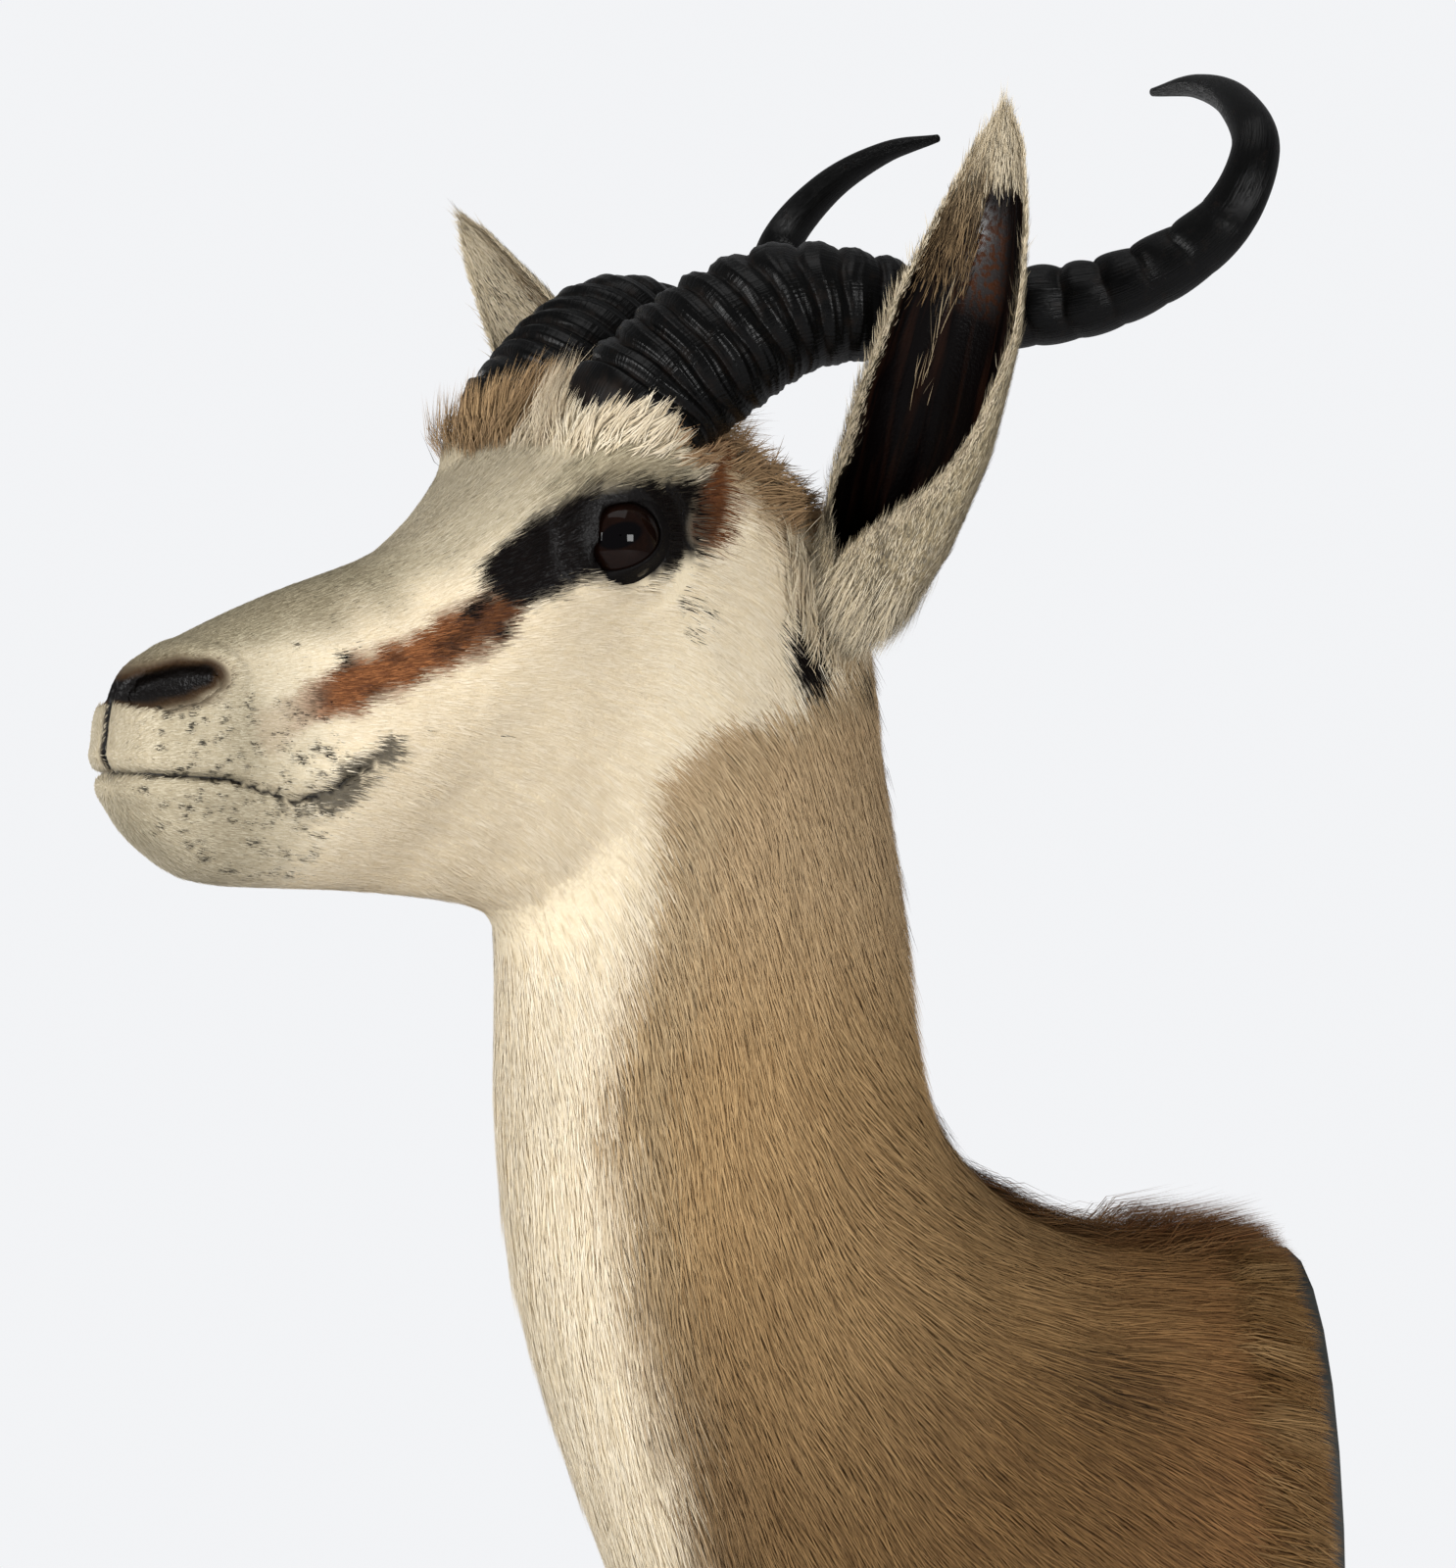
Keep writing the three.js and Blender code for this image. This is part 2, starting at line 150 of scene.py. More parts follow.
def lay_of(place):
    """The way the hair lies and its length at places on the straight animal."""
    guides = np.array(LAY)
    apart = place[:, None, 1:] - guides[None, :, :2]
    weights = np.exp(-(apart ** 2).sum(axis=2) / (2 * LAY_REACH ** 2)) + 1e-12
    weights /= weights.sum(axis=1, keepdims=True)
    ways = weights @ guides[:, 2:5]
    ways[:, 0] *= np.clip(place[:, 0] / 6, -1, 1)
    return unit(ways), weights @ guides[:, 5]


# Markings, on both sides: lines of [side, out, height, half width]
EYE_PATCH = [[40, 270, 293.5, 11], [44, 261.5, 299.5, 12.4], [48.5, 252, 304, 13.6],
             [51.5, 239.5, 306, 15.8], [48.5, 223, 309, 14], [46, 213, 313, 10.5]]
PATCH_REAR = [[46, 208, 308, 7], [45, 205, 314, 8.5], [43.5, 203, 321, 9], [41, 202, 331, 8]]
STRIPE = [[41, 277, 282, 7.6], [38.5, 284, 278.5, 8], [34, 297.5, 271, 7.8], [30.5, 312.5, 264, 7.2],
          [28, 328, 256.5, 5.8], [26.5, 339, 249, 6]]
BROW = [[40, 258, 322, 10], [47, 249, 326, 10], [52, 239, 325, 9], [48, 221, 327, 9]]
LIP_CORNER = [[26, 329, 227, 3.6], [26, 321, 232, 5.4], [28, 315.5, 236, 5.6], [31.5, 312, 240, 5],
              [33, 307, 245, 3.6]]
NOSTRIL = [[0, 353, 264.8, 5], [0, 358.5, 263.2, 7], [0, 366, 261.2, 6.8], [0, 371, 260.4, 5.2],
           [0, 377, 260, 2.8]]
PHILTRUM_HALF = 1.7
PHILTRUM_FOOT = 238
PHILTRUM_TOP = 261
MOUTH_OUT = [290, 308, 320, 331, 349, 374, 400]
MOUTH_HEIGHT = [258, 242.5, 232.5, 230.4, 236.1, 237.8, 237.5]
MOUTH_CORNER = 305
SPOTS = [[43, 173, 279, 7], [40, 165, 285, 2.2], [32, 141, 270, 3.6], [40, 182, 300, 1.6]]
FLECKS = [[46.6, 216, 288, 2], [46, 208, 287, 1.7], [46, 214, 280, 1.6], [46, 210, 284, 1.3],
          [45, 231, 330, 1.3],
          [44, 222, 331, 0.9], [50, 236, 327, 0.8], [27, 317.5, 271, 1.6], [28, 313, 274, 1],
          [22, 328.5, 274, 0.9],
          [29, 325.5, 246.5, 1.4], [29.5, 322, 244.5, 1.5], [28, 329, 242, 1.2], [34.5, 303, 244.5, 0.9],
          [36.5, 296.5, 250, 0.8], [38.5, 274, 248.5, 0.9]]
SPOT_TAIL = np.array([0, -0.4, -1.2, 0.1])
THROAT_HEIGHT = [-121, -103, -71, -34, 10, 38, 66, 94, 122, 150, 207, 235, 252, 256, 260, 268, 290, 310]
THROAT_OUT = [40, 100, 140, 168, 184, 192, 202, 213, 221, 226, 221, 221, 205, 189, 175, 158, 128, 60]
BRIDGE_OUT = [200, 235, 267, 295, 325, 355, 380]
BRIDGE_HEIGHT = [330, 321, 303, 288, 275, 264, 262]
POLL = [[31, 208, 336, 11], [38, 186, 325, 13], [40, 166, 304, 12], [44, 168, 286, 8]]
NAPE_TOP = [[0, 200, 344, 17], [0, 165, 330, 20], [0, 135, 300, 18]]
WITHERS = [[0, 118, 250, 9], [0, 110, 170, 11], [0, 100, 127, 18], [0, 62, 104, 26], [0, 8, 100, 34]]
WHORL = [[62, 75, 69, 9], [65, 69, 63, 10]]
HORN_BASE = [[32, 222, 341, 18], [33, 213, 350, 19]]
WHISKER_DOTS = np.column_stack([chance.uniform(318, 372, 190), chance.uniform(208, 259, 190)])


def nostril_reach(place):
    """Distance from the middle of the nostril in half widths, seen from the side."""
    return beside(place * (0, 1, 1), NOSTRIL)


def philtrum_reach(place):
    """Distance from the groove down the middle of the upper lip, in half widths."""
    beyond = np.maximum(PHILTRUM_FOOT - place[:, 2], place[:, 2] - PHILTRUM_TOP)
    reach = np.hypot(place[:, 0], np.maximum(beyond, 0)) / PHILTRUM_HALF
    return np.where(place[:, 1] > 352, reach, 9.0)


def mouth_gap(place):
    """Height above the line where the lips meet."""
    return place[:, 2] - np.interp(place[:, 1], MOUTH_OUT, MOUTH_HEIGHT)


def head_share(place):
    """1 on the head, 0 on the neck, across a slanting line behind the jaw."""
    return ease(-14, 10, 0.7 * (place[:, 1] - 178) + 0.717 * (place[:, 2] - 270))


def coat_of(place):
    """How much of each colour the coat has at places on the straight animal, with painted shade added over
    the shoulder.
    """
    side, out, height = np.abs(place[:, 0]), place[:, 1], place[:, 2]
    ragged = ripple(place, 9)
    on_head = head_share(place)
    edge = np.interp(height, THROAT_HEIGHT, THROAT_OUT)
    soft = np.interp(height, [150, 240], [11, 6])
    pale = ease(-1, 1, (out - edge + 3 * ragged) / soft)
    crown = np.minimum(beside(place, POLL), beside(place, NAPE_TOP))
    pale *= 1 - 0.7 * (1 - ease(0.5, 1.3, crown + 0.15 * ragged))
    pale = np.maximum(pale, 0.16 * ease(150, 230, height))
    cheek = ease(215, 240, out) * (1 - ease(300, 330, out)) * (1 - ease(280, 305, height))
    pale *= 1 - 0.16 * on_head * cheek
    smoky = 0.3 * np.exp(-((out - edge + 10) / 9) ** 2) * (1 - on_head)
    bridge = ease(-7, 8, height - np.interp(out, BRIDGE_OUT, BRIDGE_HEIGHT) + 2 * ragged) * on_head
    bridge *= ease(205, 235, out) * (0.6 + 0.4 * ease(275, 310, out))
    muzzle = ease(312, 350, out) * np.where(mouth_gap(place) > 0, 0.62, 0.7) + 0.12 * ragged
    brow = 0.95 * (1 - ease(0.6, 1.3, beside(place, BROW) + 0.2 * ragged))
    grey = np.clip(np.maximum.reduce([smoky, bridge, muzzle * ease(305, 335, out), brow]), 0, 1)
    patch = 1 - ease(0.75, 1.12, beside(place, EYE_PATCH) + 0.1 * ripple(place, 3))
    lips = (1 - ease(0.4, 1.0, np.abs(mouth_gap(place)))) * ease(MOUTH_CORNER, MOUTH_CORNER + 6, out)
    nose = 1 - ease(0.7, 1.2, np.minimum(nostril_reach(place), philtrum_reach(place)))
    dots = np.zeros(len(place))
    near_lips = (out > 320) & (side > 9)
    if near_lips.any():
        apart = np.linalg.norm(place[near_lips][:, None, 1:] - WHISKER_DOTS[None], axis=2).min(axis=1)
        dots[near_lips] = 0.9 * (1 - ease(0.6, 1.1, apart))
    for spot in SPOTS + FLECKS:
        line = [spot, np.array(spot) + SPOT_TAIL * spot[3]]
        dots = np.maximum(dots, 1 - ease(0.7, 1.1, beside(place, line) + 0.12 * ragged))
    corner_reach = beside(place, LIP_CORNER) + 0.25 * ragged + 0.4 * ripple(place, 1.7)
    corner = 0.85 * (1 - ease(0.5, 1.2, corner_reach))
    stripe_reach = beside(place, STRIPE) + 0.16 * ragged + 0.2 * ripple(place * (1, 0.5, 1.5), 2.2)
    stripe = 1 - ease(0.6, 1.25, stripe_reach)
    stripe *= 1 - 0.8 * ease(320, 338, out)
    rear = 1 - ease(0.5, 1.1, beside(place, PATCH_REAR))
    withers = 1 - ease(0.4, 1.3, beside(place, WITHERS) + 0.2 * ragged)
    withers *= 1 - 0.5 * ease(130, 190, height)
    whorl_reach = beside(place, WHORL)
    whorl = 0.95 * (1 - ease(0.2, 1.6, whorl_reach))
    streaks = ease(-0.1, 0.8, ripple(place * (1, 0.4, 1.6), 2.5))
    scorched = stripe * (0.55 * (1 - ease(278, 296, out)) + 0.55 * streaks)
    core = 1 - ease(0.45, 1.0, np.minimum(nostril_reach(place), 0.6 * philtrum_reach(place)))
    warmth = 0.1 * ease(0.1, 0.9, ripple(place * (1, 0.5, 1.3), 15)) * pale
    # Deep brown towards the shoulder and low on the neck: partly the coat's own darker tone, partly painted
    # shade where the shoulder turns away from the key light.
    clouds = 0.12 * ripple(place * (1, 0.5, 1.4), 26)
    shoulder_tone_and_shade = 0.92 * ease(-0.25, 1.22, (165 - height) / 150 + (150 - out) / 220 + clouds)
    russet = 0.25 * (1 - ease(15, 100, out)) * (1 - ease(90, 125, height))
    whorl_core = 0.9 * (1 - ease(0.3, 0.9, whorl_reach + 0.3 * ragged))
    whorl_edge = 0.35 * (1 - ease(0.4, 2.4, whorl_reach + 0.4 * ragged))
    dark_skin = np.maximum.reduce([lips, 0.6 * nose, core, corner])
    dark_rear = np.maximum(patch * (1 - 0.35 * rear), 0.3 * rear)
    dark_hair = np.maximum.reduce([dark_rear, dots, scorched, whorl_core, whorl_edge])
    return {
        "pale": pale,
        "grey": grey,
        "rust": np.maximum.reduce([stripe, rear, russet]),
        "deep": np.maximum.reduce([withers, whorl, shoulder_tone_and_shade * (1 - pale), warmth, nose]),
        "black": np.maximum(dark_skin, dark_hair),
    }


def eye_reach(place):
    """Distance from the axis of the nearer eye."""
    apart = on_near_side(place) - EYE_AT
    reach = np.linalg.norm(apart - (apart @ EYE_FACING)[:, None] * EYE_FACING, axis=1)
    return np.where(np.linalg.norm(apart, axis=1) < 40, reach, 1e3)


EYE_AT = np.array([43, 236.5, 304])
EYE_FACING = unit(np.array([0.88, 0.46, 0.08]))
EYE_RADIUS = 12.5
EYE_DEPTH = 11.5


class Socket:
    """An output of a shader node. Arithmetic on it adds the Math node that works it out."""

    def __init__(self, finish, output):
        self.finish = finish
        self.output = output

    def math(self, operation, first, second):
        return self.finish.node("Math", {"operation": operation}, {0: first, 1: second})

    def __add__(self, other):
        return self.math("ADD", self, other)

    def __mul__(self, other):
        return self.math("MULTIPLY", self, other)

    def __sub__(self, other):
        return self.math("SUBTRACT", self, other)

    def __rsub__(self, other):
        return self.math("SUBTRACT", other, self)

    __radd__ = __add__
    __rmul__ = __mul__


class Finish:
    """A material and the shader nodes it is made of."""

    def __init__(self, name):
        self.material = bpy.data.materials.new(name)
        self.material.use_nodes = True
        self.tree = self.material.node_tree
        self.surface = self.tree.nodes["Principled BSDF"]

    def feed(self, socket, value):
        if isinstance(value, Socket):
            self.tree.links.new(value.output, socket)
        else:
            socket.default_value = value

    def node(self, kind, settings=None, inputs=None, output=0):
        made = self.tree.nodes.new("ShaderNode" + kind)
        for name, value in (settings or {}).items():
            setattr(made, name, value)
        for name, value in (inputs or {}).items():
            self.feed(made.inputs[name], value)
        return Socket(self, made.outputs[output])

    def trait(self, name):
        """A value that the mesh holds at each of its points."""
        return self.node("Attribute", {"attribute_name": name}, output=2)

    def place(self):
        return self.node("TexCoord", output=3)

    def stretched(self, scale):
        return self.node("Mapping", None, {"Vector": self.place(), "Scale": scale})

    def noise(self, vector, scale, detail=4.0):
        return self.node("TexNoise", None, {"Vector": vector, "Scale": scale, "Detail": detail})

    def between(self, value, low, high):
        """0 at low and 1 at high."""
        return self.node("MapRange", None, {"Value": value, "From Min": low, "From Max": high})

    def blend(self, factor, first, second):
        return self.node("Mix", {"data_type": "RGBA"}, {0: factor, 6: first, 7: second}, 2)

    def bump(self, height, distance, strength=1.0):
        return self.node("Bump", None, {"Height": height, "Distance": distance, "Strength": strength})

    def wears(self, **values):
        for name, value in values.items():
            self.feed(self.surface.inputs[name.replace("_", " ")], value)


def tint(red, green, blue):
    """A colour from its parts out of 255 as they look on a screen."""
    shares = [part / 255 for part in (red, green, blue)]
    return (*[((share + 0.055) / 1.055) ** 2.4 if share > 0.04 else share / 12.92 for share in shares], 1.0)


def coat_colour(finish, lot):
    """The coat's colour from the shares that the mesh holds. lot sets one hair off from the next; on the
    coat it also carries the painted shade that darkens each hair towards its root.
    """
    tan = finish.blend(lot, tint(140, 110, 72), tint(188, 157, 113))
    cream = finish.blend(lot, tint(222, 205, 171), tint(240, 230, 209))
    grey = finish.blend(lot, tint(108, 97, 74), tint(188, 178, 151))
    deep = finish.blend(lot, tint(58, 37, 18), tint(120, 90, 54))
    rust = finish.blend(lot, tint(70, 36, 20), tint(160, 104, 64))
    black = finish.blend(lot, tint(5, 4, 4), tint(17, 12, 10))
    colour = finish.blend(finish.trait("pale"), tan, cream)
    for name, shade in (("grey", grey), ("deep", deep), ("rust", rust), ("black", black)):
        colour = finish.blend(finish.trait(name), colour, shade)
    return colour


def piece_of(name, points, faces, finish, traits=None):
    """A mesh piece from places in millimetres, with the values its finish needs at each point."""
    mesh = bpy.data.meshes.new(name)
    mesh.from_pydata(np.asarray(points) * MM, [], faces)
    mesh.shade_smooth()
    for trait, values in (traits or {}).items():
        mesh.attributes.new(trait, "FLOAT", "POINT").data.foreach_set("value", values.astype(np.float32))
    mesh.materials.append(finish.material)
    piece = bpy.data.objects.new(name, mesh)
    bpy.context.scene.collection.objects.link(piece)
    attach(piece, "root")
    return piece


def points_of(mesh):
    points = np.empty(3 * len(mesh.vertices), np.float32)
    mesh.vertices.foreach_get("co", points)
    return points.reshape(-1, 3).astype(float) / MM


def normals_of(mesh):
    normals = np.empty(3 * len(mesh.vertices), np.float32)
    mesh.vertex_normals.foreach_get("vector", normals)
    return normals.reshape(-1, 3).astype(float)


def evened(node, voxel, softening):
    """A copy of a CAD node's mesh in small even faces."""
    welded = bmesh.new()
    welded.from_mesh(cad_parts[node].data)
    bmesh.ops.remove_doubles(welded, verts=welded.verts, dist=0.01 * MM)
    copy = bpy.data.objects.new("copy", bpy.data.meshes.new("copy"))
    welded.to_mesh(copy.data)
    welded.free()
    bpy.context.scene.collection.objects.link(copy)
    grid = copy.modifiers.new("grid", "REMESH")
    grid.mode = "VOXEL"
    grid.voxel_size = voxel * MM
    soften = copy.modifiers.new("soften", "SMOOTH")
    soften.factor = 0.5
    soften.iterations = softening
    mesh = bpy.data.meshes.new_from_object(copy.evaluated_get(bpy.context.evaluated_depsgraph_get()))
    bpy.data.objects.remove(copy)
    return mesh


def refined(mesh, wanted, softening):
    """Splits the faces where wanted(place) holds, and rounds what was split."""
    shape = bmesh.new()
    shape.from_mesh(mesh)
    chosen = wanted(straightened(points_of(mesh))[0])
    shape.verts.ensure_lookup_table()
    edges = [edge for edge in shape.edges if chosen[edge.verts[0].index] and chosen[edge.verts[1].index]]
    split = bmesh.ops.subdivide_edges(shape, edges=edges, cuts=1, use_grid_fill=True)
    rounded = list({part for part in split["geom"] if isinstance(part, bmesh.types.BMVert)})
    for _ in range(softening):
        bmesh.ops.smooth_vert(shape, verts=rounded, factor=0.5,
                              use_axis_x=True, use_axis_y=True, use_axis_z=True)
    shape.to_mesh(mesh)
    shape.free()


def tucks(place):
    """How far the skin stands out or in at the lids, nostrils, lips and under the hair."""
    out, height = place[:, 1], place[:, 2]
    reach = eye_reach(place)
    gap = mouth_gap(place)
    lips = ease(MOUTH_CORNER, MOUTH_CORNER + 10, out)
    nostril = nostril_reach(place)
    rise = -0.16 * lay_of(place)[1]
    rise += 0.8 * np.exp(-((reach - 15) / 2.2) ** 2) - 0.5 * np.exp(-((reach - 21) / 2.5) ** 2)
    rise -= 2.2 * np.exp(-(gap / 1.1) ** 2) * lips
    rise += (1.0 * np.exp(-((gap - 5) / 3) ** 2) + 0.7 * np.exp(-((gap + 5) / 3) ** 2)) * lips
    rise -= 4.5 * (1 - ease(0.25, 1.05, nostril)) * ease(1, 9, np.abs(place[:, 0]))
    rise += 0.7 * np.exp(-((nostril - 1.5) / 0.4) ** 2) * ease(258, 268, height)
    rise -= 1.6 * np.exp(-(philtrum_reach(place) / 1.2) ** 2)
    rise += 4 * np.exp(-((beside(place, HORN_BASE) - 1.2) / 0.3) ** 2)
    return rise


SKIN_GRID = 2.75
MUZZLE_FROM = 298
CHIN_FOOT = 205
LIDS_WITHIN = 26
NOSE_FROM = 345
LIP_FOOT = 225


def on_muzzle_or_lids(place):
    return ((place[:, 1] > MUZZLE_FROM) & (place[:, 2] > CHIN_FOOT)) | (eye_reach(place) < LIDS_WITHIN)


def on_nose(place):
    return (place[:, 1] > NOSE_FROM) & (place[:, 2] > LIP_FOOT)


skin_mesh = evened("hide", SKIN_GRID, 5)
refined(skin_mesh, on_muzzle_or_lids, 3)
refined(skin_mesh, on_nose, 2)
skin_points = points_of(skin_mesh)
skin_points += normals_of(skin_mesh) * tucks(straightened(skin_points)[0])[:, None]
skin_faces = [tuple(face.vertices) for face in skin_mesh.polygons]
skin_finish = Finish("tanned_skin")
flecks = skin_finish.noise(skin_finish.place(), 900.0, 3.0)
skin_finish.wears(
    Base_Color=coat_colour(skin_finish, 0.55 * flecks),
    Roughness=0.75 - 0.35 * skin_finish.trait("black"),
    Normal=skin_finish.bump(flecks, 0.0006, 0.7),
    Specular_IOR_Level=0.15,
)
skin = piece_of("skin", skin_points, skin_faces, skin_finish, coat_of(straightened(skin_points)[0]))
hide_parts("hide")

# The coat: the animal's own hair, close and short on the face, longer on the neck and crest.
# It grows all over the skin and is combed the way it lay: back along the face, down the neck,
# and back across the shoulder to the panel.
HAIR_CELLS = np.array([[0.5, 0.05], [0.1, 0.4], [0.9, 0.4], [0.5, 0.95]])
HAIR_FACES = np.array([[0, 2, 1], [1, 2, 3]])
HAIRS_PER_PIECE = 95000
WALL_CLEARANCE = 0.8

coat_finish = Finish("springbok_coat")
coat_lot = coat_finish.trait("lot")
# tip runs from 0 at a hair's root to 1 at its tip; mixed into the lot, it paints shade between the hairs,
# darker at the root and lighter at the tip.
painted_root_shade = coat_finish.trait("tip")
coat_finish.wears(
    Base_Color=coat_colour(coat_finish, coat_lot * 0.75 + painted_root_shade * 0.25),
    Roughness=0.6,
    Specular_IOR_Level=0.05,
)


def scatter(points, faces, per_area):
    """Random roots on a surface and its normals there. per_area is hairs a square millimetre at points."""
    corners = np.array([(face[0], face[k], face[k + 1]) for face in faces for k in range(1, len(face) - 1)])
    first, second, third = (points[corners[:, k]] for k in range(3))
    normals = np.cross(second - first, third - first)
    wanted = 0.5 * np.linalg.norm(normals, axis=1) * per_area[corners].mean(axis=1)
    counts = chance.poisson(wanted)
    chosen = np.repeat(np.arange(len(corners)), counts)
    one, two = chance.random(len(chosen)), chance.random(len(chosen))
    flip = one + two > 1
    one[flip], two[flip] = 1 - one[flip], 1 - two[flip]
    roots = first[chosen] + one[:, None] * (second - first)[chosen] + two[:, None] * (third - first)[chosen]
    return roots, unit(normals[chosen])


def grow(name, roots, normals, ways, lengths, widths, lifts, traits):
    """Hairs as flat slips, pointed at both ends, that leave the skin at an angle and bend over along it."""
    lean = unit(ways - (ways * normals).sum(axis=1, keepdims=True) * normals)
    room = (-WALL_CLEARANCE - roots[:, 1]) * chance.uniform(0.7, 1.0, len(roots))
    lengths = np.minimum(lengths, room / np.maximum(lean[:, 1], 0.1))
    across = unit(np.cross(lean, normals)) * (widths / 2)[:, None]
    lift = lifts[:, None]
    middle = roots + (lean * np.cos(lift) + normals * np.sin(lift)) * (0.4 * lengths)[:, None]
    tip = middle + (lean * np.cos(0.3 * lift) + normals * np.sin(0.3 * lift)) * (0.6 * lengths)[:, None]
    slips = np.stack([roots - 0.3 * normals, middle - across, middle + across, tip], axis=1)
    slips[:, :, 1] = np.minimum(slips[:, :, 1], -WALL_CLEARANCE)
    traits = dict(traits, lot=chance.random(len(roots)))
    for number, start in enumerate(range(0, len(roots), HAIRS_PER_PIECE)):
        batch = slice(start, start + HAIRS_PER_PIECE)
        count = len(roots[batch])
        faces = (4 * np.arange(count)[:, None, None] + HAIR_FACES).reshape(-1, 3)
        held = {trait: np.repeat(values[batch], 4) for trait, values in traits.items()}
        # tip: 0 at the root to 1 at the tip, used by the coat finish for the painted shade at the roots.
        held["tip"] = np.tile([0, 0.4, 0.4, 1], count)
        piece = piece_of(f"{name}_{number + 1}", slips[batch].reshape(-1, 3), faces, coat_finish, held)
        piece.data.normals_split_custom_set_from_vertices(np.repeat(normals[batch], 4, axis=0))
        rows = math.ceil(math.sqrt(count))
        cells = np.stack([np.arange(count) % rows, np.arange(count) // rows], axis=1)
        spread = (cells[:, None, None, :] + HAIR_CELLS[HAIR_FACES][None]) / rows
        piece.data.uv_layers.new(name="OFBake").data.foreach_set("uv", spread.ravel())


HORN_LINE = np.array([
    [31.5, 223, 340], [33, 213, 350], [45, 180, 372.5], [64, 134.5, 373.5], [92, 98, 378.5],
    [116.5, 75.5, 397.5], [121, 66, 419], [105, 59, 435.5], [80, 53, 445], [55, 49.5, 447],
])
EAR_BASE = [[30, 155, 278, 10], [45, 154, 295, 11]]


def bald(place):
    """1 where no hair grows: the eyes, nostrils, lips, and under the horns and ears."""
    lips = (np.abs(mouth_gap(place)) < 0.9) & (place[:, 1] > MOUTH_CORNER + 3)
    bare = lips | (eye_reach(place) < 13.5) | (nostril_reach(place) < 0.95) | (philtrum_reach(place) < 0.9)
    return bare | (beside(place, HORN_BASE) < 0.9) | (beside(place, EAR_BASE) < 0.9) | (place[:, 1] < 7.5)


def faces_wall(place, normals):
    """True on the skin's turned-in rear edge."""
    return (place[:, 1] < 40) & (normals[:, 1] > 0.45)


def comb_coat(name, cover, width, wanted):
    """Grows the coat where wanted(place) holds. cover is how many hairs deep it lies."""
    vertex_place = straightened(skin_points)[0]
    lengths = lay_of(vertex_place)[1]
    per_area = cover / (lengths * width) * wanted(vertex_place)
    roots, normals = scatter(skin_points, skin_faces, per_area)
    place, share = straightened(roots)
    kept = ~bald(place) & ~faces_wall(place, normals)
    roots, normals, place, share = roots[kept], normals[kept], place[kept], share[kept]
    count = len(roots)
    ways, lengths = lay_of(place)
    sideways = np.cross(normals, posed_way(ways, share))
    sway = 0.08 * ripple(place, 18) + 0.06 * ripple(place, 5) + chance.normal(0, 0.09, count)
    ways = posed_way(ways, share) + sideways * sway[:, None]
    coat = coat_of(place + chance.normal(0, 0.17, (count, 3)) * lengths[:, None])
    peppered = chance.random(count) < 0.05 * coat["grey"]
    coat["black"] = np.maximum(coat["black"], 0.6 * peppered)
    whisker_pits = coat["black"] * (place[:, 1] > 318)
    lengths = lengths * chance.uniform(0.7, 1.2, count) * (1 - 0.6 * whisker_pits)
    lifts = chance.normal(0.12, 0.04, count) * (1 - 0.45 * coat["pale"]) + 0.02 * ripple(place, 12)
    widths = width * chance.uniform(0.75, 1.25, count)
    grow(name, roots, normals, ways, lengths, widths, lifts, coat)


comb_coat("face_coat", 3.0, 0.24, lambda place: head_share(place) > 0.5)
comb_coat("neck_coat", 4.2, 0.34, lambda place: head_share(place) <= 0.5)

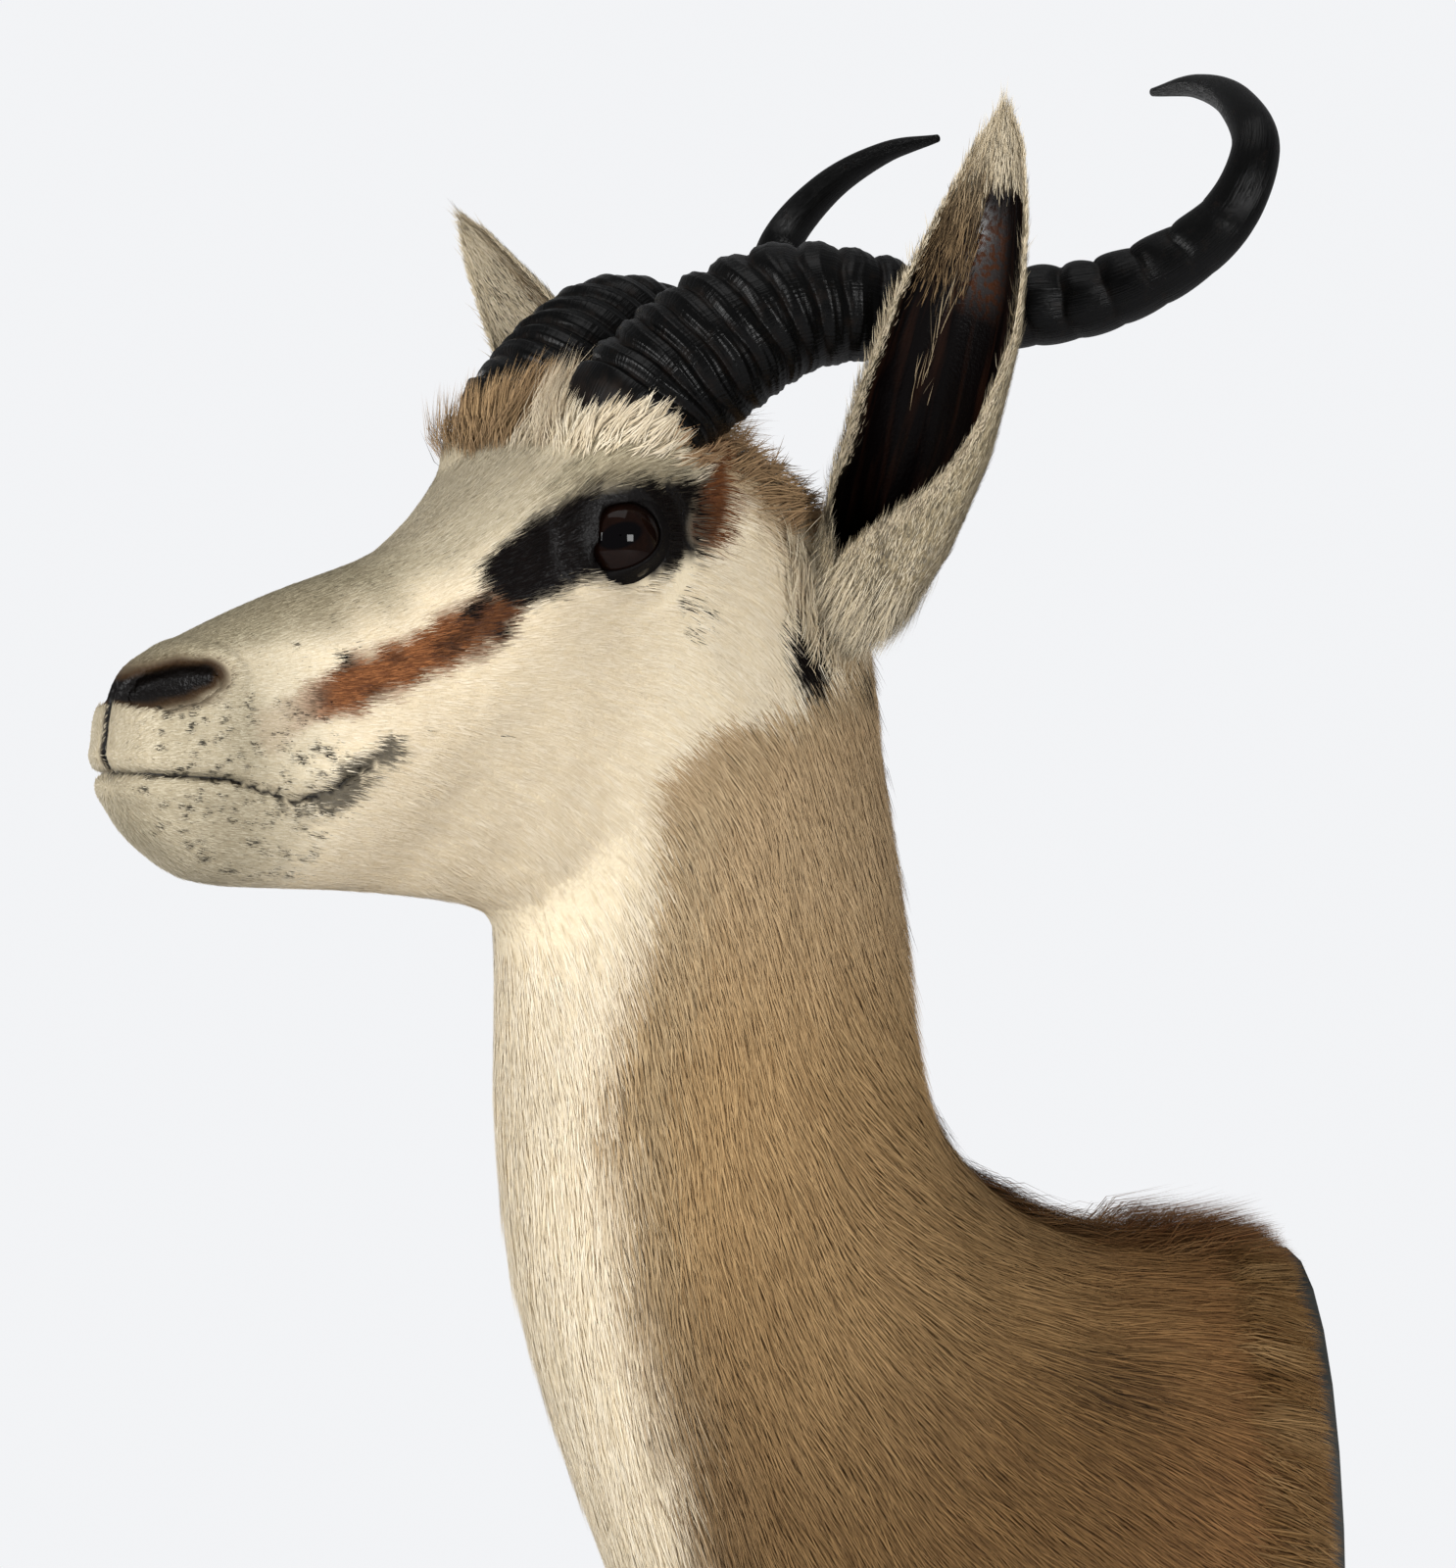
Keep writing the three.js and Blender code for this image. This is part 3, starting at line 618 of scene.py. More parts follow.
# The longer hair: a pale and tan forelock that stands up round the horns, bushy hair on the poll behind
# them, and the brown crest along the withers, which is brushed back and ends in a tuft at the panel.
TUFTS = {
    "forelock": {"line": [[0, 238, 343, 14], [18, 243, 340, 12]], "sides": (1,), "way": [0.15, -0.5, 0.9],
                 "length": 12, "lift": 0.5, "cover": 8.0,
                 "shades": {"pale": 0.8, "grey": 0.1, "deep": 0.05}},
    "far_forelock": {"line": [[0, 238, 343, 14], [18, 243, 340, 12]], "sides": (-1,),
                     "way": [0.15, -0.35, 1.0], "length": 14, "lift": 0.55, "cover": 8.0,
                     "shades": {"pale": 0.15, "grey": 0.0, "deep": 0.3, "rust": 0.15}},
    "peak": {"line": [[1, 238, 344, 8], [12, 240, 343, 8]], "sides": (1,), "way": [-0.15, -0.35, 1.0],
             "length": 18, "lift": 0.75, "cover": 7.0, "shades": {"pale": 0.7, "grey": 0.0, "deep": 0.05}},
    "near_collar": {"line": [[24, 244, 338, 9], [40, 242, 335, 10], [51, 228, 334, 8]], "sides": (1,),
                    "way": [0.1, -0.7, 0.7], "length": 9, "lift": 0.45, "cover": 7.0,
                    "shades": {"pale": 0.85, "grey": 0.12, "deep": 0.03}},
    "collar_rear": {"line": [[50, 222, 333, 7], [47, 206, 336, 9]], "sides": (1,), "way": [0.1, -0.8, 0.6],
                    "length": 10, "lift": 0.4, "cover": 7.0,
                    "shades": {"pale": 0.2, "grey": 0.0, "deep": 0.25, "rust": 0.4}},
    "far_collar": {"line": [[14, 240, 340, 10], [33, 240, 338, 11], [50, 228, 335, 10], [47, 206, 336, 9]],
                   "sides": (-1,), "way": [0.0, -0.4, 1.0], "length": 17, "lift": 0.6, "cover": 8.0,
                   "shades": {"pale": 0.1, "grey": 0.0, "deep": 0.3, "rust": 0.1}},
    "poll_hair": {"line": [[30, 196, 337, 12], [36, 180, 328, 14], [34, 164, 312, 12]], "sides": (-1, 1),
                  "way": [0.2, -0.8, 0.35], "length": 17, "lift": 0.45, "cover": 7.0,
                  "shades": {"pale": 0.15, "grey": 0.0, "deep": 0.25, "rust": 0.25}},
    "nape": {"line": [[0, 140, 300, 9], [0, 120, 250, 8], [0, 112, 190, 8], [0, 104, 140, 9]],
             "sides": (-1, 1), "way": [0.0, -0.25, -1.0], "length": 14, "lift": 0.3, "cover": 4.0,
             "shades": {"pale": 0.0, "grey": 0.0, "deep": 0.7}},
    "rear_edge": {"line": [[0, 14, 98, 16], [48, 14, 80, 16], [70, 14, 40, 16], [84, 14, -10, 16],
                           [84, 14, -80, 16]],
                  "sides": (-1, 1), "way": [0.25, -1.0, -0.35], "length": 24, "lift": 0.5, "cover": 10.0,
                  "shades": {"pale": 0.0, "grey": 0.0, "deep": 0.9}},
    "crest": {"line": [[0, 90, 119, 13], [0, 64, 105, 18], [0, 8, 100, 28]], "sides": (-1, 1),
              "way": [0.0, -1.0, 0.0], "length": 30, "lift": 0.3, "cover": 16.0,
              "shades": {"pale": 0.0, "grey": 0.0, "deep": 0.85, "rust": 0.3, "black": 0.1}},
    "crest_end": {"line": [[0, 52, 100, 14], [0, 14, 100, 24]], "sides": (-1, 1), "way": [0.0, -1.0, 0.2],
                  "length": 28, "lift": 0.85, "cover": 16.0,
                  "shades": {"pale": 0.0, "grey": 0.0, "deep": 0.8, "rust": 0.5, "black": 0.1}},
    "ear_root": {"line": [[36, 158, 280, 16], [50, 160, 296, 18]], "sides": (-1, 1),
                 "way": [0.7, -0.1, 0.6], "length": 13, "lift": 0.4, "cover": 5.0,
                 "shades": {"pale": 0.75, "grey": 0.35, "deep": 0.05}},
}
TUFT_WIDTH = 0.38
LOCK_SIZE = 7
LOCK_PULL = 0.9

skin_place = straightened(skin_points)[0]
for name, tuft in TUFTS.items():
    near = 1 - ease(0.7, 1.2, beside(skin_place, tuft["line"]))
    near *= np.isin(np.sign(skin_place[:, 0]), tuft["sides"])
    roots, normals = scatter(skin_points, skin_faces, tuft["cover"] / (tuft["length"] * TUFT_WIDTH) * near)
    place, share = straightened(roots)
    kept = ~bald(place) & ~faces_wall(place, normals)
    roots, normals, place, share = roots[kept], normals[kept], place[kept], share[kept]
    count = len(roots)
    ways = np.tile(np.array(tuft["way"], float), (count, 1))
    ways[:, 0] *= np.sign(place[:, 0])
    locks = np.stack([ripple(place, 7), ripple(place[:, ::-1], 6), ripple(place + 40, 8)], axis=1)
    ways = posed_way(unit(ways) + 0.25 * locks + chance.normal(0, 0.06, (count, 3)), share)
    gathered = (np.floor(roots / LOCK_SIZE) + 0.5) * LOCK_SIZE - roots
    ways += LOCK_PULL * gathered / tuft["length"]
    lengths = tuft["length"] * chance.uniform(0.5, 1.25, count)
    lifts = chance.normal(tuft["lift"], 0.12, count) + 0.15 * ripple(place, 9)
    held = {shade: np.full(count, 0.0) for shade in ("rust", "black")}
    for shade, share_of in tuft["shades"].items():
        held[shade] = np.clip(share_of + 0.25 * ripple(place, 5) * share_of, 0, 1)
    grow(name, roots, normals, ways, lengths, np.full(count, TUFT_WIDTH), lifts, held)

# The eyes: domes of dark brown glass, set into the form before the skin goes on.
# The lids are the skin's own black edge, drawn over the glass and glued down in a narrow oval.
EYE_RINGS = 24
EYE_SIDES = 64
LID_LONG = 12.0
LID_TOP = 9.6
LID_FOOT = 9.0
LID_ACROSS = 1.34
# From the glass to the coat: spread from the opening, lift off the surface, and wetness
LID_RINGS = [[1.0, -0.6, 1], [1.0, 0.2, 1], [1.03, 0.6, 0.9], [1.08, 0.7, 0.5], [1.16, 0.5, 0.1],
             [1.25, 0.0, 0], [LID_ACROSS, -1.4, 0]]

glass = Finish("dark_glass")
iris = glass.between(glass.trait("reach"), 0.62, 0.98)
pupil = glass.between(glass.trait("slot"), 0.9, 1.1)
brown = glass.blend(glass.noise(glass.place(), 600.0), tint(10, 5, 4), tint(26, 13, 8))
glass.wears(
    Base_Color=glass.blend(pupil, tint(5, 4, 5), glass.blend(iris, brown, tint(10, 6, 5))),
    Roughness=0.05,
    Specular_IOR_Level=0.1,
)
lid_finish = Finish("lid_skin")
lid_grain = lid_finish.noise(lid_finish.place(), 1500.0)
lid_finish.wears(
    Base_Color=lid_finish.blend(lid_grain, tint(4, 3, 3), tint(13, 10, 9)),
    Roughness=0.75 - 0.4 * lid_finish.trait("wet"),
    Specular_IOR_Level=0.08,
    Normal=lid_finish.bump(lid_grain, 0.0005, 0.6),
)
skin_rays = BVHTree.FromPolygons([Vector(point) for point in skin_points], skin_faces)


def eye_frame(side):
    """The eye's middle on the turned head, and its ways to the front corner, up and out."""
    facing = EYE_FACING * (side, 1, 1)
    front = unit(np.array([side * 0.08, 0.965, -0.25]))
    front = unit(front - (front @ facing) * facing)
    up = np.cross(facing, front)
    up = up if up[2] > 0 else -up
    return posed([EYE_AT * (side, 1, 1)])[0], [posed_way([way])[0] for way in (front, up, facing)]


def ring_faces(rings, sides):
    """Quads between rings of points that follow one another."""
    low = np.arange((rings - 1) * sides).reshape(rings - 1, sides)
    right = np.roll(low, -1, axis=1)
    return np.stack([low, right, right + sides, low + sides], axis=-1).reshape(-1, 4)


def dome_depth(along, above):
    return EYE_DEPTH * np.sqrt(np.clip(1 - (along ** 2 + above ** 2) / EYE_RADIUS ** 2, 0, 1))


for side, name in ((1, "left"), (-1, "right")):
    middle, (front, up, facing) = eye_frame(side)
    turn = np.linspace(0, 2 * math.pi, EYE_SIDES, endpoint=False)
    radius = EYE_RADIUS * np.sin(np.linspace(math.pi / 2, 0.02, EYE_RINGS))[:, None]
    along, above = (radius * np.cos(turn)).ravel(), (radius * np.sin(turn)).ravel()
    bulge = dome_depth(along, above)
    dome = middle + np.outer(along, front) + np.outer(above, up) + np.outer(bulge, facing)
    faces = ring_faces(EYE_RINGS, EYE_SIDES)
    if side < 0:
        faces = faces[:, ::-1]
    traits = {
        "reach": np.hypot(along, above) / EYE_RADIUS,
        "slot": np.hypot(along / 6.5, above / 3.6),
    }
    eye = piece_of(f"glass_{name}", dome, faces, glass, traits)
    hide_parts(f"eye_{name}")
    along = LID_LONG * np.cos(turn)
    rise = np.sin(turn)
    above = np.where(rise > 0, LID_TOP, LID_FOOT) * np.abs(rise) ** 0.9 * np.sign(rise)
    rings = []
    wet = []
    outer_depth = []
    for index in range(EYE_SIDES):
        start = middle + LID_ACROSS * (along[index] * front + above[index] * 1.18 * up) + 30 * facing
        hit = skin_rays.ray_cast(Vector(start), Vector(-facing))
        outer_depth.append(float((np.array(hit[0]) - middle) @ facing) if hit[0] else 5.0)
    outer_depth = sum(np.roll(outer_depth, step) for step in range(-5, 6)) / 11
    for spread, lift, wetness in LID_RINGS:
        share = ease(1.02, LID_ACROSS, spread)
        tall = 1 + (spread - 1) * 1.4
        inner = dome_depth(along, above)
        depth = inner + (outer_depth - inner) * share + lift
        flat = np.outer(along * spread, front) + np.outer(above * tall, up)
        rings.append(middle + flat + np.outer(depth, facing))
        wet.append(np.full(EYE_SIDES, wetness))
    faces = ring_faces(len(rings), EYE_SIDES)
    if side > 0:
        faces = faces[:, ::-1]
    lid = piece_of(f"lids_{name}", np.concatenate(rings), faces, lid_finish, {"wet": np.concatenate(wet)})

# The ears: the animal's own ear skin on a thin stiff liner, standing up from the back of the head.
# Short speckled hair covers the back, a pale edge runs round the opening, and the inside is bare dark skin.
# Each is a deep cup that closes to a tube above its root, where its rear edge wraps round to the front one.
EARS = {
    "left": {"base": [33, 153, 282], "bend": [113, 170, 346], "tip": [106, 146, 425.5],
             "opening": [0.42, 0.9, 0.1], "hand": 1, "haired_from": 0.83},
    "right": {"base": [-33, 153, 282], "bend": [-92, 170, 354], "tip": [-122, 190.5, 417],
              "opening": [0.0, 1.0, 0.1], "hand": -1, "haired_from": 0.64},
}
EAR_SHARES = [0, 0.03, 0.1, 0.25, 0.45, 0.65, 0.82, 0.94, 1]
EAR_HALF = [3, 11, 17, 21.5, 23.5, 21, 14, 7.5, 1.5]
EAR_BACK = [3, 12, 20, 20, 17, 12, 7, 3.5, 1]
EAR_FRONT = [2, 6, 9, 9, 6, 4, 3, 2, 1]
EAR_WALL = 2.2
EAR_STEPS = 110
EAR_ROUND = 44
EAR_HAIR_WIDTH = 0.2
FRONT_EDGE = [[0, 170], [0.15, 168], [0.22, 122], [0.3, 98], [1, 94]]
REAR_EDGE = [[0, 190], [0.16, 190], [0.27, 168], [0.38, 140], [0.5, 120], [0.65, 104], [0.8, 96], [1, 92]]

ear_finish = Finish("ear_skin")
inside = ear_finish.trait("inside")
along_ear = ear_finish.trait("along")
ear_flecks = ear_finish.noise(ear_finish.place(), 1100.0, 3.0)
ear_round = ear_finish.trait("round")
ear_streaks = ear_finish.noise(ear_finish.node("CombineXYZ", None, {
    "X": ear_round * 5.0, "Y": along_ear * 3.0, "Z": 0.0}), 1.0, 4.0)
bare = ear_finish.blend(ear_finish.between(ear_streaks, 0.5, 0.8), tint(4, 2, 2), tint(34, 17, 9))
gloss = ear_finish.between(along_ear, 0.64, 0.7) * ear_finish.between(along_ear, 0.85, 0.79)
gloss = gloss * ear_finish.between(ear_round, -0.6, -0.2) * ear_finish.between(ear_round, 0.6, 0.2)
cracks = ear_finish.between(ear_finish.noise(ear_finish.place(), 500.0, 3.0), 0.42, 0.55)
worn = ear_finish.blend(gloss, bare, ear_finish.blend(cracks, tint(58, 32, 17), tint(32, 25, 23)))
worn = ear_finish.blend(ear_finish.between(along_ear, 0.86, 0.94), worn, tint(132, 120, 98))
outer = ear_finish.blend(ear_flecks, tint(92, 80, 60), tint(176, 162, 132))
ear_finish.wears(
    Base_Color=ear_finish.blend(inside, outer, worn),
    Roughness=0.8 - 0.42 * inside,
    Coat_Weight=gloss * inside * cracks * 0.8,
    Normal=ear_finish.bump(ear_streaks * 0.7 + ear_flecks * 0.3, 0.001, 0.6),
    Specular_IOR_Level=0.06,
    Coat_Roughness=0.22,
)


def ear_frame(ear):
    """The ear's middle line from root to tip with its ways along, across and out of the opening."""
    base, bend, tip, opening = (np.array(ear[key], float) for key in ("base", "bend", "tip", "opening"))
    share = np.linspace(0, 1, 4 * EAR_STEPS)[:, None]
    line = posed((1 - share) ** 2 * base + 2 * share * (1 - share) * bend + share ** 2 * tip)
    length = np.concatenate([[0], np.cumsum(np.linalg.norm(np.diff(line, axis=0), axis=1))])
    even = np.linspace(0, length[-1], EAR_STEPS)
    line = np.stack([np.interp(even, length, line[:, axis]) for axis in range(3)], axis=1)
    along = unit(np.gradient(line, axis=0))
    across = unit(np.cross(posed_way([opening])[0], along))
    return line, along, ear["hand"] * across, np.cross(along, across)


def ear_cup(ear, share, turn):
    """Places on the ear's outer face, by share of its length and angle from the middle of its back."""
    line, along, across, opening = ear_frame(ear)
    row = np.clip(np.round(share * (EAR_STEPS - 1)).astype(int), 0, EAR_STEPS - 1)
    half, back, front = (np.interp(share, EAR_SHARES, sizes) for sizes in (EAR_HALF, EAR_BACK, EAR_FRONT))
    depth = np.where(np.cos(turn) > 0, back, front)
    place = line[row] - across[row] * (half * np.sin(turn))[..., None]
    return place - opening[row] * (depth * np.cos(turn))[..., None], line[row], along[row]


for name, ear in EARS.items():
    share = np.repeat(np.linspace(0, 1, EAR_STEPS)[:, None], EAR_ROUND, axis=1)
    front_edge = np.radians(np.interp(share, *np.transpose(FRONT_EDGE)))
    rear_edge = np.radians(np.interp(share, *np.transpose(REAR_EDGE)))
    spread = np.linspace(0, 1, EAR_ROUND)[None]
    turn = (front_edge + rear_edge) * spread - front_edge
    outside, line, along = ear_cup(ear, share, turn)
    edge = np.exp(-(np.minimum(spread, 1 - spread) / 0.03) ** 2) * np.ones_like(share)
    wall = EAR_WALL * (1 - 0.65 * edge) * (1 - 0.6 * share)
    degrees = np.degrees(turn)
    folds = 1.4 * np.exp(-((degrees + 30) / 9) ** 2) + 1.1 * np.exp(-((degrees - 38) / 8) ** 2)
    folds *= ease(0.15, 0.3, share) * (1 - ease(0.6, 0.75, share))
    inward = unit(line - outside)
    lining = outside + inward * (wall + folds)[..., None]
    loop = np.concatenate([outside, lining[:, ::-1]], axis=1)
    faces = ring_faces(EAR_STEPS, 2 * EAR_ROUND)
    if ear["hand"] > 0:
        faces = faces[:, ::-1]
    lined = np.concatenate([np.zeros_like(share), np.ones_like(share) * (1 - 0.9 * edge)], axis=1)
    traits = {
        "inside": lined.ravel(),
        "along": np.tile(share, (1, 2)).ravel(),
        "round": np.concatenate([turn, turn[:, ::-1]], axis=1).ravel(),
    }
    ear_points = loop.reshape(-1, 3)
    piece = piece_of(f"ear_skin_{name}", ear_points, faces, ear_finish, traits)
    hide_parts(f"ear_{name}")
    rim = np.concatenate([edge, edge], axis=1).ravel()
    front_rim = rim * np.concatenate([spread < 0.5, spread < 0.5], axis=1).repeat(EAR_STEPS, axis=0).ravel()
    ear_share = traits["along"]
    middle_line = ear_frame(ear)

    def ear_hair(kind, per_area, length, lift, outward, shades, dark, upward=1):
        """Hair along the ear. shades and dark are lists of [share of the ear's length, value]."""
        roots, normals = scatter(ear_points, faces, per_area)
        count = len(roots)
        near = np.linalg.norm(roots[:, None, :] - middle_line[0][None], axis=2).argmin(axis=1)
        ways = upward * middle_line[1][near] + outward * unit(roots - middle_line[0][near])
        ways += chance.normal(0, 0.13, roots.shape)
        held = dict.fromkeys(("pale", "grey", "rust", "deep", "black"), np.zeros(count))
        for shade, table in shades.items():
            held[shade] = np.interp(near / EAR_STEPS, *np.transpose(table))
        streaks = ease(0.4, 0.75, ripple(roots, 4)) * (1 - ease(0.2, 0.35, near / EAR_STEPS))
        flecks = chance.random(count) < np.interp(near / EAR_STEPS, *np.transpose(dark))
        held["black"] = np.maximum(0.75 * flecks, 0.85 * streaks * (chance.random(count) < 0.75))
        lengths = length * chance.uniform(0.6, 1.25, count)
        lifts = chance.normal(lift, 0.1, count)
        widths = np.full(count, EAR_HAIR_WIDTH)
        grow(f"{kind}_{name}", roots, normals, ways, lengths, widths, lifts, held)

    inner = traits["inside"]
    outer_share = (1 - inner) * ease(0.02, 0.06, ear_share)
    front_row = np.concatenate([spread < 0.4, (spread < 0.4)[:, ::-1]], axis=1)
    front_half = front_row.repeat(EAR_STEPS, axis=0).ravel()
    turned = np.degrees(traits["round"])
    ear_hair("ear_back", 2.0 * outer_share, 4.5, 0.14, 0.0,
             {"pale": [[0, 0.95], [0.25, 0.9], [0.4, 0.75], [0.75, 0.75], [1, 0.9]],
              "grey": [[0, 0.15], [0.25, 0.35], [0.4, 0.75], [0.75, 0.65], [1, 0.25]]},
             [[0, 0.2], [0.3, 0.4], [0.7, 0.4], [1, 0.1]])
    ear_hair("ear_fluff", 2.0 * outer_share * (1 - ease(0.1, 0.26, ear_share)), 17.0, 0.12, 0.0,
             {"pale": [[0, 0.9], [1, 0.9]], "grey": [[0, 0.35], [1, 0.35]]}, [[0, 0.14], [1, 0.14]],
             upward=-1)
    ear_hair("ear_edge", 8.0 * rim * ease(0.13, 0.2, ear_share), 3.0, 0.3, 0.1,
             {"pale": [[0, 0.6], [1, 0.8]], "grey": [[0, 0.35], [1, 0.15]]}, [[0, 0.12], [1, 0.05]])
    fringe_share = ease(0.1, 0.2, ear_share) * (1 - ease(0.6, 0.85, ear_share))
    ear_hair("ear_fringe", 5.0 * front_rim * fringe_share, 7.0, 0.5, 0.3,
             {"pale": [[0, 0.35], [1, 0.6]], "grey": [[0, 0.75], [1, 0.5]]}, [[0, 0.2], [1, 0.2]])
    ear_hair("ear_inner", 3.0 * inner * ease(0, 0.08, ear_share - ear["haired_from"]), 6.0, 0.2, 0.0,
             {"pale": [[0, 0.7], [1, 0.8]], "grey": [[0, 0.6], [1, 0.35]]}, [[0, 0.15], [1, 0.1]])
    ear_hair("ear_lining", 2.4 * inner * front_half * ease(0.6, 0.8, ear_share), 9.0, 0.15, 0.0,
             {"pale": [[0, 0.1], [0.8, 0.2], [1, 0.7]], "grey": [[0, 0.5], [1, 0.5]],
              "deep": [[0, 0.95], [0.75, 0.75], [0.92, 0]]}, [[0, 0.7], [0.8, 0.45], [1, 0.1]])
    ear_hair("ear_ridge", 0.3 * inner * np.exp(-((turned + 32) / 5) ** 2) * ease(0.4, 0.5, ear_share)
             * (1 - ease(0.62, 0.72, ear_share)), 15.0, 0.12, 0.0,
             {"pale": [[0, 0.4], [1, 0.4]], "grey": [[0, 0.6], [1, 0.6]], "deep": [[0, 0.5], [1, 0.3]]},
             [[0, 0.2], [1, 0.2]])

# The horns: hollow black keratin on bone cores, ringed on the lower two thirds, smooth to the hooked tips.
# They are the animal's own, screwed to the form through the skull plate, with the skin drawn up round them.
HORN_SHARES = [0, 0.12, 0.18, 0.25, 0.32, 0.4, 0.52, 0.62, 0.7, 0.78, 0.87, 0.95, 1]
HORN_RADII = [21, 21, 19.6, 16.6, 13.4, 11.8, 10.6, 9.3, 7.7, 6.4, 4.6, 2.8, 1.3]
HORN_STEPS = 380
HORN_SIDES = 52
RINGED_SHARE = 0.66
FIRST_PITCH = 6.6
PITCH_GROWTH = 0.4
RIDGE = 1.7
HORN_ROOT = np.array([16.0, 10.0, 5.0])
HORN_ROOT_WIDTH = np.array([0.6, 0.82, 0.95])[:, None, None]

keratin = Finish("black_keratin")
ring_dip = keratin.trait("dip")
horn_grain = keratin.noise(keratin.place(), 300.0, 6.0)
fibres = keratin.noise(keratin.node("CombineXYZ", None, {
    "X": keratin.trait("round") * 60.0, "Y": keratin.trait("along") * 9.0, "Z": 0.0}), 1.0, 5.0)
worn_brown = keratin.blend(horn_grain, tint(5, 5, 4), tint(24, 16, 11))
horn_wear = keratin.between(horn_grain + ring_dip * 0.4, 0.6, 1.0)
keratin.wears(
    Base_Color=keratin.blend(horn_wear, tint(5, 5, 5), worn_brown),
    Roughness=0.13 + 0.22 * horn_grain + 0.22 * ring_dip,
    Normal=keratin.bump(fibres, 0.0006, 0.6),
    Specular_IOR_Level=0.11,
)


def curve_through(places, count):
    """Points at even distances along a smooth curve through places."""
    ends = np.concatenate([[2 * places[0] - places[1]], places, [2 * places[-1] - places[-2]]])
    fine = []
    for before, start, end, after in zip(ends, ends[1:], ends[2:], ends[3:]):
        gaps = np.diff([before, start, end, after], axis=0)
        knots = np.concatenate([[0], np.cumsum(np.linalg.norm(gaps, axis=1) ** 0.5)])
        at = np.linspace(knots[1], knots[2], 80, endpoint=False)[:, None]

        def mixed(first, second, low, high):
            return ((high - at) * first + (at - low) * second) / (high - low)

        one = mixed(before, start, knots[0], knots[1])
        two = mixed(start, end, knots[1], knots[2])
        three = mixed(end, after, knots[2], knots[3])
        lower = mixed(one, two, knots[0], knots[2])
        upper = mixed(two, three, knots[1], knots[3])
        fine.append(mixed(lower, upper, knots[1], knots[2]))
    fine = np.concatenate(fine + [places[-1:]])
    length = np.concatenate([[0], np.cumsum(np.linalg.norm(np.diff(fine, axis=0), axis=1))])
    even = np.linspace(0, length[-1], count)
    return np.stack([np.interp(even, length, fine[:, axis]) for axis in range(3)], axis=1), length[-1]


for side, name in ((1, "left"), (-1, "right")):
    line, length = curve_through(posed(HORN_LINE * (side, 1, 1)), HORN_STEPS)
    along = unit(np.gradient(line, axis=0))
    across = [unit(np.cross(along[0], [0, 0, 1]))]
    for step in range(1, HORN_STEPS):
        across.append(unit(across[-1] - (across[-1] @ along[step]) * along[step]))
    across = np.array(across)
    above = np.cross(across, along)
    turn = np.linspace(0, 2 * math.pi, HORN_SIDES, endpoint=False)
    share = np.linspace(0, 1, HORN_STEPS)
    radius = np.interp(share, HORN_SHARES, HORN_RADII)
    ring_starts = [0.0]
    while ring_starts[-1] < RINGED_SHARE * length + 20:
        ring_starts.append(ring_starts[-1] + FIRST_PITCH + PITCH_GROWTH * (len(ring_starts) - 1))
    ring_starts = np.array(ring_starts)
    strength = chance.uniform(0.75, 1.15, len(ring_starts))
    tilt = 0.16 * radius[:, None] * np.sin(turn + 0.6)
    wander = 0.9 * np.sin(2 * turn + 31 * share[:, None]) + 0.5 * np.sin(5 * turn + 47 * share[:, None])
    slanted = share[:, None] * length + tilt + wander
    ring = np.clip(np.searchsorted(ring_starts, slanted) - 1, 0, len(ring_starts) - 2)
    phase = np.clip((slanted - ring_starts[ring]) / (ring_starts[ring + 1] - ring_starts[ring]), 0, 1)
    crest = np.sin(math.pi * phase ** 0.8) ** 0.6
    fade = (1 - ease(RINGED_SHARE - 0.1, RINGED_SHARE + 0.04, share)) * (1 - 0.55 * share / RINGED_SHARE)
    ridge = RIDGE * fade[:, None] * strength[ring] * (crest * 2 - 1.1) * (0.68 + 0.32 * np.sin(turn))
    wrinkles = np.sin(2 * math.pi * phase * 3 + 2 * np.sin(2 * turn + ring)) * crest
    ridge += 0.3 * fade[:, None] * wrinkles * (1 - ease(0.15, 0.5, share))[:, None]
    reach = radius[:, None] + ridge
    points = (line[:, None] + across[:, None] * (reach * np.cos(turn))[:, :, None]
              + above[:, None] * (reach * np.sin(turn))[:, :, None])
    root = line[0] - np.outer(HORN_ROOT, along[0])
    sunk = root[:, None] + HORN_ROOT_WIDTH * (points[0] - line[0])
    points = np.concatenate([sunk, points])
    rings = len(points)
    faces = [tuple(face) for face in ring_faces(rings, HORN_SIDES)]
    faces += [tuple(range(HORN_SIDES))[::-1], tuple(range((rings - 1) * HORN_SIDES, rings * HORN_SIDES))]
    dips = np.concatenate([np.ones_like(sunk[:, :, 0]), (1 - crest) * fade[:, None]])
    traits = {
        "dip": dips.ravel(),
        "round": np.tile(np.abs(turn / math.pi - 1), rings),
        "along": np.repeat(np.concatenate([np.zeros(len(sunk)), share]), HORN_SIDES),
    }
    horn = piece_of(f"keratin_{name}", points.reshape(-1, 3), faces, keratin, traits)
    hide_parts(f"horn_{name}")

# The back panel: a thin board sawn to the shoulder's outline and painted dark.
# It closes the form's back, and the skin's rear edge is stapled to it.
board_paint = Finish("dark_board")
board_grain = board_paint.noise(board_paint.stretched((8.0, 8.0, 120.0)), 1.0, 6.0)
scuffs = board_paint.noise(board_paint.place(), 60.0, 8.0)
board_colour = board_paint.blend(board_grain, tint(14, 16, 14), tint(30, 32, 28))
board_paint.wears(
    Base_Color=board_paint.blend(board_paint.between(scuffs, 0.6, 0.8), board_colour, tint(58, 54, 46)),
    Roughness=0.5 + 0.3 * scuffs,
    Normal=board_paint.bump(board_grain, 0.0005, 0.5),
)
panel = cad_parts["back_panel"]
panel.data.materials.clear()
panel.data.materials.append(board_paint.material)

